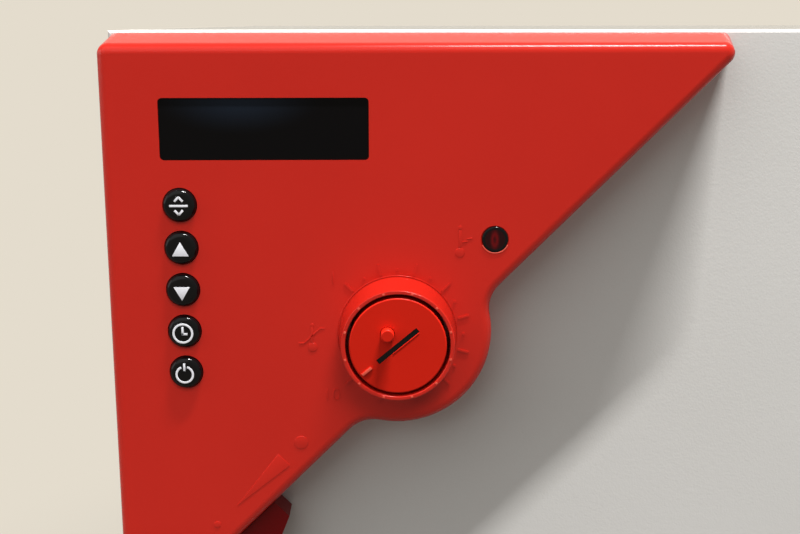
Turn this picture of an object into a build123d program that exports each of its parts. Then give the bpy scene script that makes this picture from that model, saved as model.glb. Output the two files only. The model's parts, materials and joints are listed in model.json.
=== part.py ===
from build123d import *
import os
from math import cos, hypot, radians, sin, sqrt

os.makedirs("parts", exist_ok=True)

# A bench drying oven with its door towards -Y. It stands on its feet at Z = 0, and X = 0 is the door's
# middle. Lengths are millimetres.

# Cabinet
cabinet_width = 635
cabinet_height = 617
cabinet_depth = 575
foot_height = 15
foot_radius = 20
foot_taper = 3
foot_inset = 48
sheet = 1.5
shell_edge_radius = 3
rear_flange = 14
screw_end_margin = 60
vent_height = 140
vent_slots = 9
vent_pitch = 12
vent_length = 70
vent_width = 4
partition_setback = 85
overrun = 1

# Chamber
chamber_width = 400
chamber_height = 400
chamber_floor = 108
liner_sheet = 1
plenum_depth = 50
rear_wool = 51.5
baffle_clearance = 0.5
shelf_levels = 5
rail_margin = 20
shelf_pitch = 66
first_level = 68
shelf_level_numbers = {"lower": 1, "upper": 3}
rail_depth = 14
rail_thickness = 3
shelf_wire_radius = 3
shelf_rod_radius = 1.5
shelf_rod_drop = 1
shelf_rods = 17
shelf_side_gap = 8
shelf_front_gap = 15
shelf_back_gap = 5
seat_gap = 0.1
shelf_corner = 14

# Fan, heater and probe
fan_radius = 72
fan_hub_radius = 13
fan_gap = 11
fan_blades = 10
blade_thickness = 1.5
blade_height = 24
blade_inner_radius = 44
blade_angle = 35
blade_edge_margin = 1
shaft_radius = 5
shaft_clearance = 0.05
motor_radius = 45
motor_length = 60
motor_ribs = 5
motor_rib_height = 2
motor_rib_thickness = 2
shaft_end_gap = 24
shaft_hole_gap = 2
heater_radius = 96
heater_tube_radius = 4
heater_gap_half = 15
heater_leg_tail = 12
tube_hole_gap = 0.2
probe_radius = 3
probe_x = -120
probe_below_top = 60
probe_reach = 30
probe_tail = 10
probe_collar_radius = 6
probe_collar_length = 4

# Exhaust duct and its damper
duct_x = 130
duct_below_top = 62
duct_outer_radius = 25
spigot_radius = 26
spigot_length = 31
duct_wall = 1
duct_reach = 50
duct_flange_reach = 8
damper_gap = 0.4
damper_setout = 14
damper_pin_radius = 2.5
damper_pin_clearance = 0.06
damper_pin_tail = 2
damper_sleeve_wall = 1.5
damper_sleeve_end = 3
damper_wing_length = 26
damper_wing_radius = 4.5
damper_wing_thickness = 4
damper_wing_lift = 5

# Door
door_depth = 50
door_gap = 6
door_floor_gap = 18
door_edge_radius = 1.2
inner_sheet = 1
plug_margin = 10
plug_depth = 14
gasket_width = 13
gasket_margin = 4
gasket_free_gap = 0.3
gasket_corner = 6
gasket_lip = 2

# Hinges
hinge_inset = 8
hinge_radius = 6
hinge_from_end = 102
hinge_leaf_thickness = 2.5
hinge_leaf_width = 40
hinge_half_height = 24
hinge_middle_half = 8.7
hinge_knuckle_gap = 0.3
hinge_pin_radius = 3
hinge_pin_clearance = 0.06
hinge_recess_half = 30
hinge_recess_ahead = 12
hinge_recess_inside = 9
hinge_pin_tail = 1
hinge_pin_head = 2
hinge_pin_head_reach = 1.5
leaf_gap = 1
leaf_screw_inset = 10
leaf_screw_offset = 15

# Door handle and latch
handle_inset = 46
handle_below_cover = 42.1
handle_reach = 50
handle_length = 112
handle_hub_radius = 15
handle_tip_radius = 9
handle_thickness = 15
handle_front_edge = 4
handle_back_edge = 3
handle_base_edge = 2
handle_base_radius = 22
handle_base_height = 8
spindle_radius = 5
spindle_clearance = 0.06
spindle_hole_gap = 0.5
spindle_tail = 1
bushing_wall = 3
cam_length = 36
cam_width = 12
cam_thickness = 6
cam_slot_clearance = 3
cam_gap = 0.5
keeper_size = 60
keeper_sheet = 2.5
keeper_depth = 20
moving_gap = 0.3

# Instrument cover: its X runs from the door's left edge and its Z down from cover_top
cover_below_door_top = 3.6
cover_side = 281.3
cover_depth = 25
cover_wall = 2.5
cover_edge_radius = 4.5
cover_front_drop = 2
cover_back_rise = 2.8
cover_tip_radius = 4.8
cover_corner_radius = 4.8
bump_radius = 42.3
bump_fillet = 15
boss_radius = 4.5
boss_inset = 12.2
boss_tip_distance = 32
boss_slope_place = 90.5
boss_blind = 6
screw_end_gap = 1

# Dial on the cover
dial_x = 128.1
dial_z = -129.2
collar_foot_radius = 26.2
collar_rim_radius = 24.6
collar_height = 19.5
collar_bore_radius = 22.75
dial_radius = 21.15
dial_face = 3
dial_skirt = 2.5
dial_core_radius = 12
dial_lift = 3
dial_edge_radius = 0.6
collar_edge_radius = 0.5
pointer_length = 5.5
pointer_width = 1.5
pointer_place = 17.5
coin_slot_length = 22.5
coin_slot_width = 2.3
coin_slot_depth = 2.5
coin_slot_angle = 39.8
dial_spindle_radius = 2.5
dial_spindle_clearance = 0.05
dial_spindle_depth = 5
dial_bush_wall = 2.5
limiter_nut_reach = 3
limiter_nut_height = 2.2
limiter_end_wall = 3
reset_radius = 2.9
reset_offset = 7.03
reset_proud = 4
reset_travel = 2
reset_length = 14.5
reset_edge_radius = 0.7
scale_relief = 0.5
scale_line_inner = 27.9
scale_line_outer = 33
scale_line_width = 1
scale_dot_radius = 0.6
scale_dot_place = 29.5
scale_step = 30
scale_first_line = 135
scale_last_line = -135

# Display, buttons and lamp on the cover
window_left = 25.6
window_width = 90.3
window_top = -24.4
window_height = 26.8
window_corner = 1.8
window_recess = 0.6
window_fit = 0.1
button_x = 33.4
button_first_z = -70.6
button_pitch = 18.9
button_radius = 7.25
button_proud = 3
button_hole_gap = 0.35
button_dome_radius = 2.6
button_flange = 1.5
button_flange_reach = 1.3
button_stem_radius = 2.5
button_travel = 1.5
button_count = 5
button_stem_end = 8
switch_half = 3
lamp_x = 170.9
lamp_z = -86.4
lamp_radius = 5.35
lamp_fit = 0.1
lamp_chamfer = 0.8
lamp_holder_radius = 8
lamp_holder_wall = 3
lamp_holder_length = 13
lamp_cavity_depth = 9
lens_proud = 0.4
lens_edge_radius = 0.9
lens_flange_reach = 1.6
lens_flange = 1.5
display_margin = 2
board_front = 12
board_thickness = 1.6
board_margin = 8
board_below_buttons = 16
board_limiter_gap = 13
board_shoulder_gap = 20
board_slant = 10
post_radius = 2.5
post_inset = 6
post_below_window = 9
limiter_radius = 17
limiter_length = 17.5

# Screws of the sheet metal
screw_radius = 1.9
screw_hole_radius = 2
screw_head_radius = 4
screw_head_height = 2.2
cover_screw_length = 8
screw_pocket_gap = 0.5
screw_pocket_depth = 4

# Cable gland and relay unit at the back
gland_from_side = 87.5
gland_z = 80
gland_thread_radius = 8
gland_hole_gap = 0.2
gland_head_radius = 12
gland_head_length = 16
gland_hex_length = 6.4
gland_cap_radius = 9.8
gland_bore_radius = 4
gland_thread_inside = 10
gland_nut_thickness = 4
power_z = 190
power_width = 120
power_height = 80
power_base = 8
power_fins = 9
power_fin_depth = 30
power_fin_thickness = 2

# Perforated baffle
perforation_radius = 4
perforation_step = 15
perforation_rings = 4
outlet_slots = 11
outlet_pitch = 32
outlet_length = 22
outlet_width = 7
outlet_inset = 30

# Air flap lever under the cover's sloping edge
lever_rest = -124.6
lever_travel = 52
lever_length = 49
lever_plateau = 16
lever_edge_reach = 10.8
lever_reach = 18
lever_gap = 1
lever_front = 7
lever_ramp_drop = 6
lever_back = 21
stem_front = 14
stem_thickness = 6
stem_half_width = 10
shutter_length = 44
shutter_width = 34
shutter_thickness = 1.5
shutter_setback = 26
shutter_web = 3
stem_lap = 2
inlet_slot_length = 24
inlet_slot_width = 5
inlet_slot_pitch = 12
air_channel_half = 24
air_channel_depth = 16
air_channel_end = 30
air_channel_inset = 10
air_outlet_half_length = 9
air_outlet_half_width = 3
air_outlet_pitch = 12

# Planes and edges that follow from the sizes
chamber_depth = (cabinet_depth - door_depth - door_gap - sheet - plenum_depth - liner_sheet - rear_wool
                 - partition_setback)
half_width = cabinet_width / 2
gland_x = gland_from_side - half_width
door_left = -half_width
door_front = -cabinet_depth / 2
door_back = door_front + door_depth
frame_front = door_back + door_gap
shell_front = frame_front + sheet
cabinet_back = cabinet_depth / 2
cover_inside = cabinet_back - sheet
partition_front = cabinet_back - partition_setback
partition_back = partition_front + sheet
chamber_half = chamber_width / 2
chamber_top = chamber_floor + chamber_height
chamber_middle = chamber_floor + chamber_height / 2
chamber_x = (-chamber_half, chamber_half)
chamber_z = (chamber_floor, chamber_top)
liner_half = chamber_half + liner_sheet
baffle_front = shell_front + chamber_depth
baffle_back = baffle_front + liner_sheet
liner_back = baffle_back + plenum_depth - liner_sheet
liner_outer_back = liner_back + liner_sheet
inner_half_width = half_width - sheet
inner_x = (-inner_half_width, inner_half_width)
base_top = foot_height + sheet
door_inner_face = door_back - inner_sheet
hinge_x = half_width - hinge_inset
hinge_y = door_back - hinge_inset
handle_x = door_left + handle_inset
hinge_heights = {"lower": door_floor_gap + hinge_from_end, "upper": cabinet_height - hinge_from_end}
cover_top = cabinet_height - cover_below_door_top
cover_front = door_front - cover_depth
handle_height = cover_top - cover_side - handle_below_cover
plug_half = chamber_half - plug_margin
plug_back = door_back + plug_depth
duct_z = chamber_top - duct_below_top
probe_z = chamber_top - probe_below_top
duct_end = cabinet_back + duct_reach
damper_y = cabinet_back + damper_setout
spindle_hole_radius = spindle_radius + spindle_hole_gap


def save(builder, name):
    """Label a finished piece and write it."""
    builder.part.label = name
    export_step(builder.part, f"parts/{name}.step")


def block(x, y, z, mode=Mode.ADD):
    """A box between two limits on each axis."""
    with Locations(((x[0] + x[1]) / 2, (y[0] + y[1]) / 2, (z[0] + z[1]) / 2)):
        Box(x[1] - x[0], y[1] - y[0], z[1] - z[0], mode=mode)


def rod_y(x, z, radius, y, mode=Mode.ADD):
    """A round rod along Y between two limits."""
    with Locations(Location((x, (y[0] + y[1]) / 2, z), (90, 0, 0))):
        Cylinder(radius, y[1] - y[0], mode=mode)


def rod_z(x, y, radius, z, mode=Mode.ADD):
    """A round upright rod between two limits."""
    with Locations((x, y, (z[0] + z[1]) / 2)):
        Cylinder(radius, z[1] - z[0], mode=mode)


def rod_x(y, z, radius, x, mode=Mode.ADD):
    """A round rod along X between two limits."""
    with Locations(Location(((x[0] + x[1]) / 2, y, z), (0, 90, 0))):
        Cylinder(radius, x[1] - x[0], mode=mode)


def facing(y, x=0, z=0):
    """A plane that faces the front at depth y, its own x along +X and y along +Z."""
    return Plane(origin=(x, y, z), x_dir=(1, 0, 0), z_dir=(0, -1, 0))


def cover_plane(depth):
    """The cover's own plane, at a depth behind its front face."""
    return facing(cover_front + depth, door_left, cover_top)


def slope_plane(depth):
    """A plane along the cover's sloping edge: x runs up the edge from its middle and y into the cover."""
    middle = cover_side / 2
    origin = (door_left + middle, cover_front + depth, cover_top - middle)
    return Plane(origin=origin, x_dir=(1, 0, 1), z_dir=(0, -1, 0))


def cover_x(x):
    return door_left + x


def cover_z(z):
    return cover_top + z


def cover_y(depth):
    return cover_front + depth


# Cabinet shell: a wrap of roof and side sheets with a flange round its back
with BuildPart() as housing_shell:
    block((-half_width, half_width), (shell_front, cover_inside), (foot_height, cabinet_height))
    roof_edges = housing_shell.edges().filter_by(Axis.Y).group_by(Axis.Z)[-1]
    fillet(roof_edges, shell_edge_radius)
    inner_roof = cabinet_height - sheet
    block(inner_x, (shell_front, cover_inside - sheet), (foot_height, inner_roof), Mode.SUBTRACT)
    flange_inside = inner_half_width - rear_flange
    block((-flange_inside, flange_inside), (cover_inside - sheet, cover_inside),
          (foot_height, inner_roof - rear_flange), Mode.SUBTRACT)
    block(inner_x, (cover_inside - sheet, cover_inside), (foot_height, base_top), Mode.SUBTRACT)

# Screws of the rear cover stand in the middle of the shell's back flange
flange_line = inner_half_width - rear_flange / 2
flange_roof_line = cabinet_height - sheet - rear_flange / 2
screw_columns = (foot_height + screw_end_margin, (foot_height + cabinet_height) / 2,
                 cabinet_height - screw_end_margin)
cover_screw_places = [(side * flange_line, z) for side in (-1, 1) for z in screw_columns]
cover_screw_places += [(x, flange_roof_line) for x in (-cabinet_width / 4, cabinet_width / 4)]

with BuildPart(mode=Mode.PRIVATE) as flange_holes:
    for x, z in cover_screw_places:
        rod_y(x, z, screw_hole_radius, (cover_inside - sheet - overrun, cabinet_back + overrun))

with housing_shell:
    add(flange_holes.part, mode=Mode.SUBTRACT)
save(housing_shell, "housing_shell")

with BuildPart() as base_plate:
    block(inner_x, (shell_front, cover_inside), (foot_height, base_top))
save(base_plate, "base_plate")

foot_x = half_width - foot_inset
foot_front_y = shell_front + foot_inset
foot_back_y = cabinet_back - foot_inset
with BuildPart() as feet:
    for x in (-foot_x, foot_x):
        for y in (foot_front_y, foot_back_y):
            with Locations((x, y, foot_height / 2)):
                Cone(foot_radius - foot_taper, foot_radius, foot_height)
save(feet, "feet")

# Rear cover with the duct hole, the cable gland hole and two fields of cooling slots
with BuildPart() as rear_cover:
    block((-half_width, half_width), (cover_inside, cabinet_back), (foot_height, cabinet_height))
    add(flange_holes.part, mode=Mode.SUBTRACT)
    rod_y(duct_x, duct_z, duct_outer_radius, (cover_inside, cabinet_back), Mode.SUBTRACT)
    rod_y(gland_x, gland_z, gland_thread_radius + gland_hole_gap, (cover_inside, cabinet_back), Mode.SUBTRACT)
    with BuildSketch(facing(cabinet_back)):
        for x in (-cabinet_width / 4, cabinet_width / 4):
            with Locations((x, foot_height + vent_height)):
                with GridLocations(0, vent_pitch, 1, vent_slots):
                    SlotOverall(vent_length, vent_width)
    extrude(amount=sheet, mode=Mode.SUBTRACT)
save(rear_cover, "rear_cover")

with BuildPart() as cover_screws:
    for x, z in cover_screw_places:
        rod_y(x, z, screw_radius, (cabinet_back - cover_screw_length, cabinet_back))
        rod_y(x, z, screw_head_radius, (cabinet_back, cabinet_back + screw_head_height))
save(cover_screws, "cover_screws")

# Front frame round the chamber's mouth, cut out for the latch's strike box
keeper_half = keeper_size / 2
keeper_back = shell_front + keeper_depth
keeper_x = (handle_x - keeper_half, handle_x + keeper_half)
keeper_z = (handle_height - keeper_half, handle_height + keeper_half)
with BuildPart() as front_frame:
    block((-half_width, half_width), (frame_front, shell_front), (foot_height, cabinet_height))
    block(chamber_x, (frame_front, shell_front), chamber_z, Mode.SUBTRACT)
    block(keeper_x, (frame_front, shell_front), keeper_z, Mode.SUBTRACT)
save(front_frame, "front_frame")

# Strike box flush in the frame: the cam enters its slot and turns behind its front plate
cam_slot_half_width = cam_width / 2 + cam_slot_clearance
cam_slot_half_height = cam_length / 2 + cam_slot_clearance
with BuildPart() as latch_keeper:
    block(keeper_x, (frame_front, keeper_back), keeper_z)
    pocket_half = keeper_half - keeper_sheet
    pocket_back = keeper_back - keeper_sheet
    block((handle_x - pocket_half, handle_x + pocket_half), (frame_front + keeper_sheet, pocket_back),
          (handle_height - pocket_half, handle_height + pocket_half), Mode.SUBTRACT)
    block((handle_x - cam_slot_half_width, handle_x + cam_slot_half_width), (frame_front, pocket_back),
          (handle_height - cam_slot_half_height, handle_height + cam_slot_half_height), Mode.SUBTRACT)
save(latch_keeper, "latch_keeper")

# Chamber liner, open at the front, with holes for the shaft, the duct and the probe
shaft_hole_radius = shaft_radius + shaft_hole_gap
heater_leg_drop = heater_radius * cos(radians(heater_gap_half))
heater_leg_x = heater_radius * sin(radians(heater_gap_half))
heater_hole_radius = heater_tube_radius + tube_hole_gap
probe_hole_radius = probe_radius + tube_hole_gap


def rear_passages(y, mode=Mode.SUBTRACT):
    """Holes through a wall behind the chamber for all that passes it."""
    rod_y(0, chamber_middle, shaft_hole_radius, y, mode)
    rod_y(duct_x, duct_z, duct_outer_radius, y, mode)
    rod_y(probe_x, probe_z, probe_hole_radius, y, mode)
    for side in (-1, 1):
        rod_y(side * heater_leg_x, chamber_middle - heater_leg_drop, heater_hole_radius, y, mode)


with BuildPart() as chamber_liner:
    block((-liner_half, liner_half), (shell_front, liner_outer_back),
          (chamber_floor - liner_sheet, chamber_top + liner_sheet))
    block(chamber_x, (shell_front, liner_back), chamber_z, Mode.SUBTRACT)
    rear_passages((liner_back, liner_outer_back))
save(chamber_liner, "chamber_liner")

# Mineral wool round the liner, up to the partition of the rear compartment
with BuildPart() as chamber_insulation:
    block(inner_x, (shell_front, partition_front), (base_top, cabinet_height - sheet))
    block((-liner_half, liner_half), (shell_front, liner_outer_back),
          (chamber_floor - liner_sheet, chamber_top + liner_sheet), Mode.SUBTRACT)
    block(keeper_x, (shell_front, keeper_back), keeper_z, Mode.SUBTRACT)
    rear_passages((liner_outer_back, partition_front))
save(chamber_insulation, "chamber_insulation")

with BuildPart() as rear_partition:
    block(inner_x, (partition_front, partition_back), (base_top, cabinet_height - sheet))
    rear_passages((partition_front, partition_back))
save(rear_partition, "rear_partition")

# Baffle between the chamber and the fan: a perforated plate whose side flanges reach the liner's back
baffle_half = chamber_half - baffle_clearance
with BuildPart() as air_baffle:
    block((-baffle_half, baffle_half), (baffle_front, liner_back),
          (chamber_floor + baffle_clearance, chamber_top - baffle_clearance))
    block((-baffle_half + liner_sheet, baffle_half - liner_sheet), (baffle_back, liner_back),
          chamber_z, Mode.SUBTRACT)
    rod_y(probe_x, probe_z, probe_hole_radius, (baffle_front, baffle_back), Mode.SUBTRACT)
    with BuildSketch(facing(baffle_back)):
        with Locations((0, chamber_middle)):
            Circle(perforation_radius)
            for ring in range(1, perforation_rings + 1):
                with PolarLocations(ring * perforation_step, 6 * ring):
                    Circle(perforation_radius)
        for side in (-1, 1):
            with Locations((side * (chamber_half - outlet_inset), chamber_middle)):
                with GridLocations(0, outlet_pitch, 1, outlet_slots):
                    SlotOverall(outlet_length, outlet_width)
    extrude(amount=liner_sheet, mode=Mode.SUBTRACT)
save(air_baffle, "air_baffle")

# Shelf rails on the chamber's sides
shelf_front_y = frame_front + plug_depth - door_gap + shelf_front_gap
shelf_back_y = baffle_front - shelf_back_gap
level_heights = [chamber_floor + first_level + level * shelf_pitch for level in range(shelf_levels)]


def shelf_rail(side):
    """A pressed rail plate on one side of the chamber, with a ledge at each level."""
    wall_x = side * chamber_half
    plate_x = sorted((wall_x, wall_x - side * liner_sheet))
    ledge_x = sorted((wall_x, wall_x - side * rail_depth))
    with BuildPart() as rail:
        plate_z = (level_heights[0] - rail_margin, level_heights[-1] + rail_margin)
        block(plate_x, (shelf_front_y, shelf_back_y), plate_z)
        for height in level_heights:
            block(ledge_x, (shelf_front_y, shelf_back_y), (height - rail_thickness, height))
    return rail


save(shelf_rail(-1), "left_shelf_rail")
save(shelf_rail(1), "right_shelf_rail")

# Wire shelves
shelf_half = chamber_half - shelf_side_gap


def wire_shelf(level):
    """A welded wire shelf that lies on the ledges of one level."""
    wire_z = level_heights[level] + seat_gap + shelf_wire_radius
    side_x = shelf_half - shelf_wire_radius
    front_y = shelf_front_y + shelf_wire_radius
    back_y = shelf_back_y - shelf_wire_radius
    with BuildPart() as shelf:
        with BuildLine(Plane.XY.offset(wire_z)) as path:
            FilletPolyline((0, front_y), (side_x, front_y), (side_x, back_y), (0, back_y),
                           radius=shelf_corner)
        with BuildSketch(Plane(origin=path.line @ 0, z_dir=path.line % 0)):
            Circle(shelf_wire_radius)
        sweep(path=path.line)
        mirror(about=Plane.YZ)
        rod_step = 2 * side_x / (shelf_rods + 1)
        for index in range(1, shelf_rods + 1):
            rod_y(index * rod_step - side_x, wire_z, shelf_rod_radius, (front_y, back_y))
        for y in (front_y + (back_y - front_y) / 3, back_y - (back_y - front_y) / 3):
            rod_x(y, wire_z - shelf_rod_drop, shelf_rod_radius, (-side_x, side_x))
    return shelf


for place, level in shelf_level_numbers.items():
    save(wire_shelf(level), f"{place}_shelf")

# Fan wheel on its shaft
fan_front = baffle_back + fan_gap
fan_disc_y = fan_front + blade_height
with BuildPart() as fan_wheel:
    rod_y(0, chamber_middle, fan_radius, (fan_disc_y, fan_disc_y + blade_thickness))
    rod_y(0, chamber_middle, fan_hub_radius, (fan_front, fan_disc_y + blade_thickness))
    with BuildSketch(facing(fan_disc_y, 0, chamber_middle)):
        with PolarLocations((blade_inner_radius + fan_radius) / 2 - blade_edge_margin, fan_blades):
            Rectangle(fan_radius - blade_inner_radius, blade_thickness, rotation=blade_angle)
    extrude(amount=blade_height)
    rod_y(0, chamber_middle, shaft_radius, (fan_front, fan_disc_y + blade_thickness), Mode.SUBTRACT)
save(fan_wheel, "fan_wheel")

shaft_end = partition_back + motor_length - shaft_end_gap
with BuildPart() as fan_shaft:
    rod_y(0, chamber_middle, shaft_radius, (fan_front, shaft_end))
save(fan_shaft, "fan_shaft")

with BuildPart() as fan_motor:
    rod_y(0, chamber_middle, motor_radius, (partition_back, partition_back + motor_length))
    rib_step = motor_length / (motor_ribs + 1)
    for rib in range(1, motor_ribs + 1):
        rib_y = partition_back + rib * rib_step
        rod_y(0, chamber_middle, motor_radius + motor_rib_height,
              (rib_y - motor_rib_thickness / 2, rib_y + motor_rib_thickness / 2))
    rod_y(0, chamber_middle, shaft_radius + shaft_clearance, (partition_back, shaft_end + overrun),
          Mode.SUBTRACT)
save(fan_motor, "fan_motor")

# Heater: an open ring round the fan whose two legs pass back through the insulation
heater_y = (fan_front + fan_disc_y) / 2
with BuildPart() as heater_ring:
    with BuildLine(facing(heater_y, 0, chamber_middle)) as loop:
        CenterArc((0, 0), heater_radius, heater_gap_half - 90, 360 - 2 * heater_gap_half)
    with BuildSketch(Plane(origin=loop.line @ 0, z_dir=loop.line % 0)):
        Circle(heater_tube_radius)
    sweep(path=loop.line)
    for side in (-1, 1):
        with Locations((side * heater_leg_x, heater_y, chamber_middle - heater_leg_drop)):
            Sphere(heater_tube_radius)
        rod_y(side * heater_leg_x, chamber_middle - heater_leg_drop, heater_tube_radius,
              (heater_y, partition_back + heater_leg_tail))
save(heater_ring, "heater_ring")

with BuildPart() as temperature_probe:
    rod_y(probe_x, probe_z, probe_radius, (baffle_front - probe_reach, partition_back + probe_tail))
    rod_y(probe_x, probe_z, probe_collar_radius, (liner_back - probe_collar_length, liner_back))
save(temperature_probe, "temperature_probe")

# Relay unit with cooling fins on the partition
power_x = -cabinet_width / 4
with BuildPart() as power_module:
    module_z = (power_z - power_height / 2, power_z + power_height / 2)
    fin_end = partition_back + power_base + power_fin_depth
    block((power_x - power_width / 2, power_x + power_width / 2),
          (partition_back, partition_back + power_base), module_z)
    fin_step = (power_width - power_fin_thickness) / (power_fins - 1)
    for fin in range(power_fins):
        fin_x = power_x - power_width / 2 + fin * fin_step
        block((fin_x, fin_x + power_fin_thickness), (partition_back, fin_end), module_z)
save(power_module, "power_module")

# Cable gland in the rear cover
gland_end = cabinet_back + gland_head_length
with BuildPart() as power_inlet:
    rod_y(gland_x, gland_z, gland_thread_radius, (cover_inside - gland_thread_inside, cabinet_back))
    with BuildSketch(facing(cabinet_back, gland_x, gland_z)):
        RegularPolygon(gland_head_radius, 6)
    extrude(amount=-gland_hex_length)
    rod_y(gland_x, gland_z, gland_cap_radius, (cabinet_back, gland_end))
    rod_y(gland_x, gland_z, gland_head_radius, (cover_inside - gland_nut_thickness, cover_inside))
    rod_y(gland_x, gland_z, gland_bore_radius, (cover_inside - gland_thread_inside, gland_end), Mode.SUBTRACT)
save(power_inlet, "power_inlet")

# Exhaust duct, which ends in a spigot, with its butterfly damper
duct_inner_radius = duct_outer_radius - duct_wall
duct_flange_radius = duct_outer_radius + duct_flange_reach
with BuildPart() as exhaust_duct:
    rod_y(duct_x, duct_z, duct_outer_radius, (liner_back, duct_end))
    rod_y(duct_x, duct_z, duct_flange_radius, (cabinet_back, cabinet_back + sheet))
    rod_y(duct_x, duct_z, spigot_radius, (duct_end - spigot_length, duct_end))
    rod_y(duct_x, duct_z, duct_inner_radius, (liner_back, duct_end), Mode.SUBTRACT)
    rod_z(duct_x, damper_y, damper_pin_radius + damper_pin_clearance,
          (duct_z - duct_outer_radius - overrun, duct_z + duct_outer_radius + overrun), Mode.SUBTRACT)
save(exhaust_duct, "exhaust_duct")

damper_sleeve_radius = damper_pin_radius + damper_sleeve_wall
damper_radius = duct_inner_radius - damper_gap
with BuildPart() as damper_flap:
    rod_y(duct_x, duct_z, damper_radius, (damper_y - sheet / 2, damper_y + sheet / 2))
    sleeve_half = damper_radius - damper_sleeve_end
    rod_z(duct_x, damper_y, damper_sleeve_radius, (duct_z - sleeve_half, duct_z + sleeve_half))
    rod_z(duct_x, damper_y, damper_pin_radius, (duct_z - damper_radius, duct_z + damper_radius),
          Mode.SUBTRACT)
save(damper_flap, "damper_flap")

with BuildPart() as damper_spindle:
    wing_bottom = duct_z + duct_outer_radius + damper_wing_lift
    rod_z(duct_x, damper_y, damper_pin_radius, (duct_z - duct_outer_radius - damper_pin_tail, wing_bottom))
    with BuildSketch(Plane.XY.offset(wing_bottom)):
        with Locations((duct_x, damper_y), (duct_x + damper_wing_length, damper_y)):
            Circle(damper_wing_radius)
        make_hull()
    extrude(amount=damper_wing_thickness)
save(damper_spindle, "damper_spindle")

# Door skin: a pan with its open side to the back
air_middle_z = cover_z(-cover_side / 2) + (lever_rest + shutter_setback) / sqrt(2)
air_middle_x = cover_x(cover_side / 2) + (lever_rest - shutter_setback) / sqrt(2)
screw_places_on_cover = [
    (boss_inset, -boss_inset), (cover_side - boss_tip_distance, -boss_inset),
    (boss_inset, boss_tip_distance - cover_side),
    (cover_side / 2 + (boss_slope_place - boss_inset) / sqrt(2),
     (boss_slope_place + boss_inset) / sqrt(2) - cover_side / 2),
]
air_channel_back = door_front + sheet + air_channel_depth
air_channel_left = air_middle_x - air_channel_half
air_channel_right = -plug_half + air_channel_inset + air_channel_end
air_outlet_left = air_channel_right - air_channel_end
air_outlet_x = (air_outlet_left, air_channel_right)


def hinge_recesses(mode=Mode.SUBTRACT):
    """The two corner recesses in which the hinge knuckles stand."""
    for height in hinge_heights.values():
        block((hinge_x - hinge_recess_inside, half_width + overrun),
              (hinge_y - hinge_recess_ahead, door_back + overrun),
              (height - hinge_recess_half, height + hinge_recess_half), mode)


def inlet_slots():
    """Three slots across the sloping direction, under the shutter at rest."""
    with Locations((lever_rest, shutter_setback)):
        with GridLocations(inlet_slot_pitch, 0, 3, 1):
            SlotOverall(inlet_slot_length, inlet_slot_width, rotation=90)


with BuildPart() as door_outer_panel:
    block((-half_width, half_width), (door_front, door_inner_face), (door_floor_gap, cabinet_height))
    fillet(door_outer_panel.faces().sort_by(Axis.Y)[0].edges(), door_edge_radius)
    block(inner_x, (door_front + sheet, door_inner_face),
          (door_floor_gap + sheet, cabinet_height - sheet), Mode.SUBTRACT)
    hinge_recesses()
    rod_y(handle_x, handle_height, spindle_hole_radius, (door_front, door_front + sheet), Mode.SUBTRACT)
    for x, z in screw_places_on_cover:
        rod_y(cover_x(x), cover_z(z), screw_hole_radius, (door_front, door_front + sheet), Mode.SUBTRACT)
    with BuildSketch(slope_plane(cover_depth + sheet)):
        inlet_slots()
    extrude(amount=sheet, mode=Mode.SUBTRACT)
save(door_outer_panel, "door_outer_panel")

# Stainless inner panel of the door, with its raised plug and the slots of the air channel
with BuildPart() as door_inner_panel:
    block((-half_width, half_width), (door_inner_face, door_back), (door_floor_gap, cabinet_height))
    plug_z = (chamber_floor + plug_margin, chamber_top - plug_margin)
    block((-plug_half, plug_half), (door_back, plug_back), plug_z)
    plug_corners = door_inner_panel.edges().filter_by(Axis.Y).group_by(SortBy.LENGTH)[-1]
    fillet(plug_corners, plug_margin)
    inner_plug_x = (inner_sheet - plug_half, plug_half - inner_sheet)
    inner_plug_z = (plug_z[0] + inner_sheet, plug_z[1] - inner_sheet)
    block(inner_plug_x, (door_inner_face, plug_back - inner_sheet), inner_plug_z, Mode.SUBTRACT)
    hinge_recesses()
    rod_y(handle_x, handle_height, spindle_hole_radius, (door_inner_face, door_back), Mode.SUBTRACT)
    outlet_middle = (air_outlet_left + air_channel_right) / 2
    for slot in (-1, 0, 1):
        slot_z = air_middle_z + slot * air_outlet_pitch
        block((outlet_middle - air_outlet_half_length, outlet_middle + air_outlet_half_length),
              (plug_back - inner_sheet, plug_back),
              (slot_z - air_outlet_half_width, slot_z + air_outlet_half_width), Mode.SUBTRACT)
save(door_inner_panel, "door_inner_panel")

# Air channel from the inlet slots behind the cover to the plug
with BuildPart() as door_air_duct:
    air_z = (air_middle_z - air_channel_half, air_middle_z + air_channel_half)
    inner_air_z = (air_z[0] + inner_sheet, air_z[1] - inner_sheet)
    block((air_channel_left, air_channel_right), (door_front + sheet, air_channel_back), air_z)
    block(air_outlet_x, (door_front + sheet, plug_back - inner_sheet), air_z)
    block((air_channel_left + inner_sheet, air_channel_right - inner_sheet),
          (door_front + sheet, air_channel_back - inner_sheet), inner_air_z, Mode.SUBTRACT)
    block((air_outlet_left + inner_sheet, air_channel_right - inner_sheet),
          (door_front + sheet, plug_back - inner_sheet), inner_air_z, Mode.SUBTRACT)
save(door_air_duct, "door_air_duct")

bushing_radius = spindle_radius + bushing_wall
with BuildPart() as spindle_bushing:
    rod_y(handle_x, handle_height, bushing_radius, (door_front + sheet, door_inner_face))
    rod_y(handle_x, handle_height, spindle_radius + spindle_clearance, (door_front + sheet, door_inner_face),
          Mode.SUBTRACT)
save(spindle_bushing, "spindle_bushing")

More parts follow.
